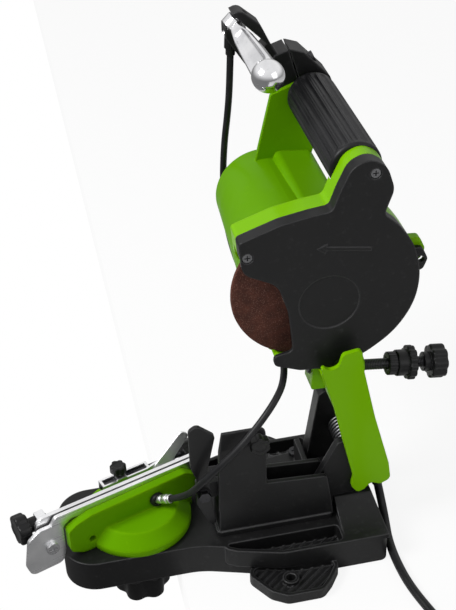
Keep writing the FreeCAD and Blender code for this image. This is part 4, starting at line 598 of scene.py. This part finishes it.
piece("tower_knob_grip", turned((-14.5, -43.5, 113), Y, np.concatenate([
    rounded([(0.4, 0, 0), (0.4, 3.6, 0), (0.0, 4.6, 0.3), (0.0, 7.5, 1.0), (7.0, 7.5, 1.0), (7.0, 4.0, 0),
             (9.2, 4.0, 0)], 1.1),
    rounded([(9.2, 2.5, 0), (13.9, 2.5, 0), (13.9, 0, 0)], 0.3)]),
    6, 1.3, 72), "tower_knob", black_knob, ("tower_knob",))
slide_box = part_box("slide_knob")
SLIDE_SEAT = np.append((np.array(slide_box[0]) + np.array(slide_box[1]))[:2] / 2, slide_box[0][2]) / MM
piece("slide_knob_grip", turned(SLIDE_SEAT, Z, np.concatenate([
    rounded([(0, 0, 0), (0, 2.2, 0), (1.5, 2.2, 0)], 0.3), grip_profile(1.5, 7.0, 6.2, 1.2)[1:]]),
    6, 1.1, 72), "stop_slide", black_knob, ("slide_knob",))


# %% [markdown]
# ## Threads
# The feed screw, the depth screw and its two collars. A thread is a turned shape whose
# radius also depends on the angle: it rises and falls once per pitch along the axis and
# shifts by one pitch per turn, which is what makes it a helix and not a row of rings.


# %% Thread
def threaded(start, axis, radius, length, pitch, depth, around=28):
    """radius = outer - depth * |sawtooth|, at the phase distance / pitch - angle / one turn."""
    angle, out = spokes(axis, around)
    along = np.arange(0.0, length + pitch / 12, pitch / 6)
    phase = along[:, None] / pitch - angle / (2 * math.pi)
    wave = np.abs(2 * (phase - np.floor(phase)) - 1)
    taper = np.clip(np.minimum(along, length - along) / pitch, 0, 1)[:, None]
    size = radius - depth * (1 - taper * np.clip(wave * 1.5 - 0.1, 0, 1))
    centre = np.asarray(start, float) + along[:, None] * unit(axis)
    return surface(centre[:, None] + size[..., None] * out)


# %% Feed screw
FEED_START = on_vice((-14, 30.5, 39.5))
FEED_LENGTH = 70.0
piece("feed_thread", threaded(FEED_START, RAIL_WAY, 2.2, FEED_LENGTH, 0.8, 0.35), "feed",
      dark_steel, ("feed_screw",))
FEED_GRIP_SEAT = FEED_START + (FEED_LENGTH - 1.0) * RAIL_WAY
piece("feed_grip", turned(FEED_GRIP_SEAT, RAIL_WAY, grip_profile(0.0, 11.0, 10.0, 1.6), 6, 1.6, 96),
      "feed", black_knob, ())

# %% Depth screw and its collars
STOP_TIP = np.array([29.0, -4.0, 144.2])
STOP_TAIL = np.array([126.0, -4.0, 131.9])
STOP_WAY = unit(STOP_TAIL - STOP_TIP)
NUT_AT, RING_AT, HANDLE_AT = 59.0, 65.5, 86.0
STOP_LENGTH = 91.0
SCREW_BORE = 4.06
black_thread = metal("black_thread", colour(0.075, 0.075, 0.08), colour(0.03, 0.03, 0.032), 0.3)
piece("depth_thread", threaded(STOP_TIP, STOP_WAY, 4.0, STOP_LENGTH, 1.25, 0.62, 36), "depth_screw",
      black_thread, ("depth_screw",))
piece("depth_grip", turned(STOP_TIP + HANDLE_AT * STOP_WAY, STOP_WAY, np.concatenate([
    rounded([(0, 0, 0), (0, 7.0, 0), (5, 7.0, 0)], 0.6), grip_profile(5.0, 11.0, 12.5, 1.7)[1:]]),
    8, 1.5, 128), "depth_screw", black_knob, ())
piece("stop_collar", turned(STOP_TIP + NUT_AT * STOP_WAY, STOP_WAY, rounded(
    [(0.4, SCREW_BORE, 0), (0, 5.2, 0), (0, 8.5, 1.0), (6.5, 8.5, 1.0), (6.5, SCREW_BORE, 0)], 0.8),
    20, 0.35, 120, ring=True), "lock_ring", black_knob, ("stop_nut",))
piece("lock_ring_grip", turned(STOP_TIP + RING_AT * STOP_WAY, STOP_WAY, np.concatenate([
    rounded([(0.05, SCREW_BORE, 0), (0.05, 9.5, 0), (7.8, 9.5, 0)], 0.9),
    rounded([(7.8, 9.5, 0), (8.0, 12.5, 1.0), (13.5, 12.5, 1.0), (13.5, 8.0, 0.3),
             (13.0, SCREW_BORE, 0)], 1.1)]),
    12, 1.1, 144, ring=True), "lock_ring", black_knob, ("lock_ring",))

# %% [markdown]
# ## The grinding disc
# A disc 108 mm across and 3.2 mm thick. Its rim is dressed round, so that it cuts the
# rounded gullet of a chain tooth, and a slight waviness is left by the dressing stone.


# %% Disc
DISC_CENTRE = np.array([30.5, 0.0, 210.0])
DISC_RADIUS, DISC_BORE, DISC_WIDTH = 54.0, 11.1, 3.2
FACE_RINGS = 12
FACE_EDGE = 3.0
RIM_CROWN = 0.55
DRESSED = 3.5


def disc_mesh(centre, radius, bore, width, around=256):
    """Rings over the faces and the rim.

    rim radius = r - 0.05 + 0.03 * sin(11 a + 1.3) + 0.02 * sin(29 a), and its section half an ellipse
    """
    half = width / 2
    arc = np.linspace(-math.pi / 2, math.pi / 2, 9)
    rim = np.stack([half * np.sin(arc), radius - half * RIM_CROWN * (1 - np.cos(arc))], 1)
    face = np.linspace(bore, radius - FACE_EDGE, FACE_RINGS)
    near = np.stack([np.full(FACE_RINGS, -half), face], 1)
    far = np.stack([np.full(FACE_RINGS, half), face[::-1]], 1)
    profile = np.concatenate([near, rim, far])
    angle, out = spokes(Y, around)
    wave = 0.03 * np.sin(11 * angle + 1.3) + 0.02 * np.sin(29 * angle)
    share = (profile[:, 1] > radius - DRESSED)[:, None]
    size = profile[:, 1, None] - 0.05 * share + wave * share
    points = centre + profile[:, 0, None, None] * Y + size[..., None] * out
    return surface(points, ring=True)


piece("abrasive_disc", disc_mesh(DISC_CENTRE, DISC_RADIUS, DISC_BORE, DISC_WIDTH), "spindle", grit,
      ("grinding_wheel",))

# %% [markdown]
# ## The rubber grip
# A sleeve with sixteen flutes. Each flute is a round groove that runs out before the ends,
# and the ends themselves are rounded, as a moulded sleeve's are.


# %% Grip
TUBE_AXIS = (64.0, 294.0)
GRIP_ENDS = (5.0, 117.0)
GRIP_RADIUS, GRIP_BORE = 18.0, 11.05
FLUTE_RADIUS, FLUTE_RISE = 2.2, 0.9
END_ROUNDING = 2.5


def grip_mesh(radius, bore, flutes=16, around=320):
    """radius = r - max(0, sqrt(flute^2 - (r * angle from the flute)^2) - rise), faded at the ends."""
    (axis_x, axis_z), (near, far) = TUBE_AXIS, GRIP_ENDS
    along = near + (far - near) * (0.5 - 0.5 * np.cos(np.linspace(0, math.pi, 60)))
    angle = np.arange(around) * 2 * math.pi / around
    pitch = 2 * math.pi / flutes
    apart = (angle + pitch / 2) % pitch - pitch / 2
    groove = np.sqrt(np.maximum(0, FLUTE_RADIUS ** 2 - (radius * apart) ** 2))
    groove = np.maximum(0, groove - FLUTE_RISE)
    rib = 0.16 * np.cos(4 * flutes * angle) * (groove < 0.01)
    from_end = np.minimum(along - near, far - along)
    inside = np.clip((from_end - 3.5) / 5.0, 0, 1)
    fade = np.sqrt(1 - (1 - inside) ** 2)[:, None]
    corner = np.clip(1 - from_end / END_ROUNDING, 0, 1)[:, None]
    size = radius - 0.1 - groove * fade + rib * fade - 2.2 * (1 - np.sqrt(1 - corner ** 2))
    outer = np.stack([axis_x + size * np.cos(angle), np.broadcast_to(along[:, None], size.shape),
                      axis_z + size * np.sin(angle)], -1)
    ends = np.array([far, near])[:, None]
    inner = np.stack([np.broadcast_to(axis_x + bore * np.cos(angle), (2, around)),
                      np.broadcast_to(ends, (2, around)),
                      np.broadcast_to(axis_z + bore * np.sin(angle), (2, around))], -1)
    return surface(np.concatenate([outer, inner]), ring=True)


piece("fluted_grip", grip_mesh(GRIP_RADIUS, GRIP_BORE), "head", grip_rubber, ("handle_grip",))

# %% [markdown]
# ## The lever
# A polished casting: a hub on the pin, a blade that widens towards its end, hollowed on
# its two broad faces to save metal, and a ball for the palm. The blade's section is a
# rounded rectangle, and a channel with a soft edge is pressed into each broad face.

# %% Lever
PIVOT = np.array([11.5, 127.5, 349.5])
PIN_WAY = unit((1, 0, 1))
BALL = np.array([18.0, 55.0, 342.0])
BALL_RADIUS = 11.2
BLADE_WAY = unit(BALL - PIVOT)
BLADE_LENGTH = np.linalg.norm(BALL - PIVOT) - 4.0
STATIONS = (0.0, 9.0, 22.0, 44.0, BLADE_LENGTH)


def blade_mesh(around=120, rings=90):
    """Sections along the blade: a superellipse |x/a|^6 + |y/b|^6 = 1 with a channel in each broad face.

    channel depth = 2 * reach * exp(-(share of the half width / 0.7) ^ 10), reach fading at both ends
    """
    along = np.linspace(0, BLADE_LENGTH, rings)
    thick_way = unit(np.cross(PIN_WAY, BLADE_WAY))
    wide_way = np.cross(BLADE_WAY, thick_way)
    thick = np.interp(along, STATIONS, (4.3, 4.1, 3.9, 3.9, 4.4))[:, None]
    wide = np.interp(along, STATIONS, (4.2, 4.2, 6.4, 7.9, 9.1))[:, None]
    angle = (np.arange(around) + 0.5) * 2 * math.pi / around
    grow = (np.abs(np.cos(angle)) ** 6 + np.abs(np.sin(angle)) ** 6) ** (-1 / 6)
    across, rise = np.cos(angle) * grow, np.sin(angle) * grow
    reach = np.clip(np.minimum(along - 14.0, BLADE_LENGTH - 4.0 - along) / 7.0, 0, 1)[:, None]
    channel = 2.0 * reach * (3 - 2 * reach) * reach
    pressed = channel * np.sign(across) * np.exp(-((rise / 0.70) ** 10)) * (np.abs(across) > 0.8)
    centre = PIVOT + along[:, None] * BLADE_WAY
    return surface(centre[:, None] + (thick * across - pressed)[..., None] * thick_way
                   + (wide * rise)[..., None] * wide_way)


def ball_profile(radius, steps=40):
    """Half a circle from pole to pole: distance r * (1 - cos a), radius r * sin a."""
    angle = np.linspace(0, math.pi, steps)
    return np.stack([radius * (1 - np.cos(angle)), radius * np.sin(angle)], 1)


piece("lever_blade", blade_mesh(), "lever", aluminium, ("brake_lever",))
piece("lever_ball", turned(BALL - BALL_RADIUS * BLADE_WAY, BLADE_WAY, ball_profile(BALL_RADIUS)),
      "lever", aluminium, ())
HUB_HALF = 3.9
piece("lever_hub", turned(PIVOT - HUB_HALF * PIN_WAY, PIN_WAY, rounded(
    [(0, 2.55), (0, 8.0), (2 * HUB_HALF, 8.0), (2 * HUB_HALF, 2.55)], 0.8), around=64, ring=True), "lever",
    aluminium, ())

# %% [markdown]
# ## The hinge spring
# Wire 2.5 mm thick, wound round the pin to lift the head. One leg rests on the base's
# bracket and the other on the arm, so the wire crosses the hinge; on the real machine it
# winds up as the head swings.


# %% Spring
def wire(path, radius, reference, around=12):
    """A round wire along a path of points, with its rings squared to the path."""
    along = np.gradient(path, axis=0)
    along /= np.linalg.norm(along, axis=1, keepdims=True)
    side = np.cross(along, reference)
    side /= np.linalg.norm(side, axis=1, keepdims=True)
    over = np.cross(along, side)
    angle = np.arange(around) * 2 * math.pi / around
    out = np.cos(angle)[None, :, None] * side[:, None] + np.sin(angle)[None, :, None] * over[:, None]
    return surface(path[:, None] + radius * out)


HINGE = np.array([60.0, 0.0, 71.0])
SPRING_WIRE = 1.25
SPRING_RADIUS = 9.5 - SPRING_WIRE
SPRING_SPAN = (15.9, -16.9)
SPRING_TURNS = 10
ARM_LEAN = 0.12
LEG_LENGTHS = (22.0, 40.0)
bracket_way = unit((-20.0, 0.0, -29.4))
arm_way = unit((-ARM_LEAN, 0.0, 1.0))
start_angle = math.atan2(-bracket_way[0], bracket_way[2]) - math.pi
end_angle = ARM_LEAN - 2 * math.pi * SPRING_TURNS
turns = np.linspace(0, 1, 420)
wind = start_angle + (end_angle - start_angle) * turns
across = SPRING_SPAN[0] + (SPRING_SPAN[1] - SPRING_SPAN[0]) * turns
coil = HINGE + np.stack([SPRING_RADIUS * np.cos(wind), across, SPRING_RADIUS * np.sin(wind)], 1)
leg = np.linspace(0, 1, 12)[1:, None]
lower_leg = (coil[0] + LEG_LENGTHS[0] * leg * bracket_way)[::-1]
spring_path = np.concatenate([lower_leg, coil, coil[-1] + LEG_LENGTHS[1] * leg * arm_way])
spring = piece("hinge_spring", wire(spring_path, SPRING_WIRE, Y), None, spring_wire,
               ("torsion_spring",), sharp=60.0)
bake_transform(spring)

# %% [markdown]
# ## The clamp cable
# A casing 5 mm thick runs from the lever's perch down the far side of the motor, under
# the disc and past the tower to the vice. It is one smooth line through a few points.
# Its top sits at the head and its lower end at the vice.


# %% Smooth lines
def line(name, points, radius):
    """A tube of the given radius on a smooth line that is pulled towards the points, in mm."""
    curve = bpy.data.curves.new(name, "CURVE")
    curve.dimensions = "3D"
    curve.bevel_depth = radius * MM
    curve.bevel_resolution = 5
    curve.resolution_u = 8
    curve.use_fill_caps = True
    spline = curve.splines.new("NURBS")
    spline.points.add(len(points) - 1)
    spline.points.foreach_set("co", np.insert(np.array(points, float) * MM, 3, 1.0, axis=1).ravel())
    spline.order_u = 3
    spline.use_endpoint_u = True
    return curve


def tube(name, points, radius):
    """The tube as a mesh, and the points that its centre line goes through."""
    curve = line(name, points, radius)
    holder = bpy.data.objects.new(name + "_line", curve)
    bpy.context.scene.collection.objects.link(holder)
    bpy.context.view_layer.update()
    mesh = bpy.data.meshes.new_from_object(holder)
    curve.bevel_depth = 0.0
    bpy.context.view_layer.update()
    centre = bpy.data.meshes.new_from_object(holder)
    path = [tuple(v.co) for v in centre.vertices]
    bpy.data.objects.remove(holder)
    bpy.data.meshes.remove(centre)
    length = sum(math.dist(a, b) for a, b in zip(path, path[1:]))
    print(name, "is", round(length / MM), "mm long")
    return mesh, path, length


CABLE_ROUTE = [
    (8.25, 128, 327), (7, 128, 302), (5.5, 131.5, 279), (4, 140, 252), (3, 145, 222), (2.5, 145, 190),
    (6, 129, 160), (11, 94, 149), (14, 60, 147), (15, 29, 148), (14, 2, 149.5), (8, -20, 148), (0, -31, 143),
    (-12.5, -39.5, 133), (-29, -44.5, 117), (-46.5, -42.5, 98), (-58, -36, 80), (-66, -25.6, 63),
    (-75.25, -16.49, 54.42)]
CABLE_RADIUS = 2.5
mesh, path, length = tube("clamp_cable", CABLE_ROUTE, CABLE_RADIUS)
cable = piece("clamp_cable", mesh, None, sheath, ("brake_cable",), sharp=60.0)
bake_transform(cable)

# %% [markdown]
# ## The cable's two ends
# At the top a knurled barrel seats the casing. At the vice a bright crimped sleeve comes
# out of a black bush in the green wall.

# %% Barrel, sleeve and bush
CABLE_TOP = np.array([8.5, 128.0, 332.0])
CABLE_EXIT = unit((-0.05, 0, -1))
barrel_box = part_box("cable_adjuster")
BARREL_RADIUS = (barrel_box[1][1] - barrel_box[0][1]) / 2 / MM
BARREL_HEIGHT = barrel_box[1][2] / MM - CABLE_TOP[2]
BARREL_TOP = 4.8 + BARREL_HEIGHT
piece("cable_barrel", turned(CABLE_TOP + 5 * CABLE_EXIT, -CABLE_EXIT, rounded(
    [(0, 1.3, 0), (0, 3.4, 0), (5, 3.4, 0), (5, BARREL_RADIUS - 0.1, 1), (BARREL_TOP, BARREL_RADIUS - 0.1, 1),
     (BARREL_TOP, 1.3, 0)], 0.4), 18, 0.6, 144, ring=True), "head", black_knob, ("cable_adjuster",))
BUSH = on_vice((12, -12, 48))
OUTWARD = on_vice((0, -1, 0), direction=True)
SLEEVE_WAY = on_vice((0.413, -0.798, 0.44), direction=True)
piece("cable_bush", turned(BUSH - 1.0 * OUTWARD, OUTWARD, rounded(
    [(0, 3.2), (0, 5.6), (3.2, 5.4), (3.4, 3.2)], 0.7), around=64, ring=True), "vice", black_knob,
    ("cable_ferrule",))
piece("cable_sleeve", turned(BUSH, SLEEVE_WAY, rounded(
    [(0, 2.6), (0, 3.3), (5.2, 3.3), (5.5, 2.9), (6.3, 2.9), (6.6, 3.5), (10.6, 3.45), (10.9, 3.0),
     (11.7, 3.0), (12.0, 3.4), (14.0, 3.3), (14.0, 2.55), (2.0, 2.55)], 0.3, 3), around=48, ring=True),
    "vice", zinc, ())

# %% [markdown]
# ## The mains lead
# A round lead 6.5 mm thick leaves the gland in the arm's foot, drops to the bench and runs
# forward. The rest is put away in a coil of two layers: three turns inwards on the bench,
# a climb, and three turns outwards on top. Each turn keeps its circle and steps over to
# the next in one short stretch, so the turns lie side by side.

# %% Lead's route
LEAD_RADIUS = 3.25
LEAD_ROUTE = [
    (83, -9, 28), (85.64, -10.98, 13.48), (84.5, -26, 5), (81, -45, 3.25), (79.8, -67, 3.3),
    (81.5, -92, 3.25), (88, -119, 3.25), (97, -148, 3.25), (108, -185, 3.25)]
COIL_CENTRE = np.array([151.0, -172.5, 0.0])
OUTER_TURN = 45.2
TURN_STEP = 6.9
LAYER_TURNS = 3
POINTS_PER_TURN = 18
LAYER_HEIGHTS = (3.25, 10.1)
STEP_SHARE = 0.22
STEP_OUT_AT = 0.55


def smooth(value):
    """0 below 0, 1 above 1, and an S between."""
    value = np.clip(value, 0, 1)
    return value * value * (3 - 2 * value)


def coil_points():
    """Turns of two layers. A turn steps over in its last 80 degrees going in, and between 160 and
    80 degrees from its end coming out, clear of the stretch that climbs between the layers."""
    entry = np.array(LEAD_ROUTE[-1]) - COIL_CENTRE
    begin = math.atan2(entry[1], entry[0])
    step = np.arange(1, 2 * LAYER_TURNS * POINTS_PER_TURN + 1) / POINTS_PER_TURN
    whole = np.floor(step - 1e-9)
    part = step - whole
    lower = step <= LAYER_TURNS
    inward = np.minimum(whole + smooth((part - (1 - STEP_SHARE)) / STEP_SHARE), LAYER_TURNS - 1)
    outward = 2 * LAYER_TURNS - 1 - whole - smooth((part - STEP_OUT_AT) / STEP_SHARE)
    index = np.where(lower, inward, np.clip(outward, 0, LAYER_TURNS - 1))
    climb = smooth((step - (LAYER_TURNS - STEP_SHARE)) / STEP_SHARE)
    angle = begin + 2 * math.pi * step
    radius = OUTER_TURN - TURN_STEP * index
    low, high = LAYER_HEIGHTS
    return np.stack([COIL_CENTRE[0] + radius * np.cos(angle), COIL_CENTRE[1] + radius * np.sin(angle),
                     low + (high - low) * climb], 1)


# %% Lead
TO_PLUG = [(-36, -33, 10.0), (-27, -49, 9.6), (-19, -56.5, 9.1), (-9, -57.3, 9.0), (3, -57.3, 9.0)]
lead_points = np.concatenate([LEAD_ROUTE, coil_points(), COIL_CENTRE + np.array(TO_PLUG)])
mesh, path, length = tube("mains_lead", lead_points, LEAD_RADIUS)
lead = piece("mains_lead", mesh, None, sheath, ("power_cord", "cord_coil"), sharp=60.0)
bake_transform(lead)

# %% [markdown]
# ## The plug
# A moulded plug: a ribbed neck, a waisted body to pull on, a flat face and two round
# pins of bare steel.

# %% Plug
PLUG_START = COIL_CENTRE + np.array([5.0, -57.3, 9.0])
NECK = 16.0
ribs = np.linspace(0, NECK, 33)
neck_radius = 4.2 + 3.2 * (ribs / NECK) ** 1.3 - 0.5 * (np.sin(ribs * math.pi / 2) > 0.3)
neck = np.stack([ribs, neck_radius, 0 * ribs], 1)
body = rounded([(16, 7.6, 0), (22, 8.8, 0.4), (32, 7.6, 1), (42, 8.9, 0.3), (50, 9.0, 0), (50, 0, 0)], 2.0)
plug_profile = np.concatenate([neck, body])
plug = piece("mains_plug", turned(PLUG_START - NECK * X, X, plug_profile, 2, 0.7, 64),
             "base", sheath, ("plug",))
for side in (-1, 1):
    seat = PLUG_START + 33.5 * X + side * 4.5 * Z
    name = "plug_pin_%s" % ("low" if side < 0 else "high")
    piece(name, turned(seat, X, rounded(
        [(0, 0), (0, 2.0), (18.4, 2.0), (18.5, 0)], 0.9), around=32), "base", steel, ())

# %% [markdown]
# ## Bench and light
# The machine stands on the edge of a pale bench, because its lock knob hangs below the
# base. The light is a soft white room, a large lamp high up on the left, and a faint one
# on the right that fills the shadows. The camera sees the room as plain white. Metal
# mirrors a room that is bright above and dim below, because a polished thing looks like
# metal only when its room has contrast.

# %% Bench
BENCH_FRONT = -0.075
BENCH_SIZE = (2.4, 2.6, 0.03)
SEEN_WHITE = 0.88


def bench_material():
    """Pale matt bench that the camera sees lifted towards white, with the shadows kept."""
    finish = Finish("pale_bench")
    grain = finish.noise(55.0, 4.0)
    base = finish.mix(grain, colour(0.86, 0.86, 0.86), colour(0.90, 0.90, 0.90))
    material = finish.use(Base_Color=base, Roughness=grain.between(0.2, 0.8, 0.75, 0.9))
    seen = finish.node("ShaderNodeLightPath", output="Is Camera Ray")
    glow = finish.node("ShaderNodeEmission", None, {"Color": WHITE, "Strength": 1.0})
    matt = Value(finish, finish.shader.outputs[0])
    finish.end(finish.node("ShaderNodeMixShader", None, {0: seen * SEEN_WHITE, 1: matt, 2: glow}),
               "Material Output")
    return material


corner = np.array([BENCH_FRONT, -BENCH_SIZE[1] / 2, -BENCH_SIZE[2]])
grid = np.array([(0, 0, 0), (1, 0, 0), (1, 1, 0), (0, 1, 0)], float)
levels = np.stack([grid, grid + Z])
bench = bpy.data.objects.new("bench", surface((corner + levels * BENCH_SIZE) / MM))
bench.data.materials.append(bench_material())
bpy.context.scene.collection.objects.link(bench)
print("bench top", BENCH_SIZE[:2], "m")

# %% Room
ROOM_LIGHT = 0.36
MIRRORED_ABOVE, MIRRORED_BELOW = 1.0, 0.22
world = bpy.data.worlds.new("room")
bpy.context.scene.world = world
world.use_nodes = True
room = Nodes(world.node_tree)
plain = room.tree.nodes["Background"]
plain.inputs["Color"].default_value = WHITE
plain.inputs["Strength"].default_value = ROOM_LIGHT
seen = room.node("ShaderNodeBackground", None, {"Color": WHITE, "Strength": 1.0})
way = room.node("ShaderNodeTexCoord", output="Generated")
height = room.node("ShaderNodeSeparateXYZ", None, {0: way}, "Z")
glow = height.between(-0.25, 0.45, MIRRORED_BELOW, MIRRORED_ABOVE)
mirrored = room.node("ShaderNodeBackground", None, {"Color": WHITE, "Strength": glow})
shade = Value(room, plain.outputs[0])
for ray, other in (("Is Glossy Ray", mirrored), ("Is Transmission Ray", seen), ("Is Camera Ray", seen)):
    share = room.node("ShaderNodeLightPath", output=ray)
    shade = room.node("ShaderNodeMixShader", None, {0: share, 1: shade, 2: other})
room.end(shade, "World Output")
print("room light", ROOM_LIGHT)

# %% Lamps
LAMP_POWER = 28.0
FILL_SHARE = 0.13
MIDDLE = (0.0, 0.0, 0.15)


def lamp(name, place, size, power):
    """A square soft lamp that faces the middle of the machine."""
    light = bpy.data.lights.new(name, "AREA")
    light.energy = power
    light.size = size
    holder = bpy.data.objects.new(name, light)
    holder.location = place
    holder.rotation_euler = (Vector(MIDDLE) - Vector(place)).to_track_quat("-Z", "Y").to_euler()
    bpy.context.scene.collection.objects.link(holder)


lamp("key_lamp", (-1.2, -0.22, 1.35), 0.7, LAMP_POWER)
lamp("fill_lamp", (0.9, -1.2, 0.9), 1.0, LAMP_POWER * FILL_SHARE)
bpy.context.scene.view_settings.view_transform = "Standard"
print("key lamp", LAMP_POWER, "W")
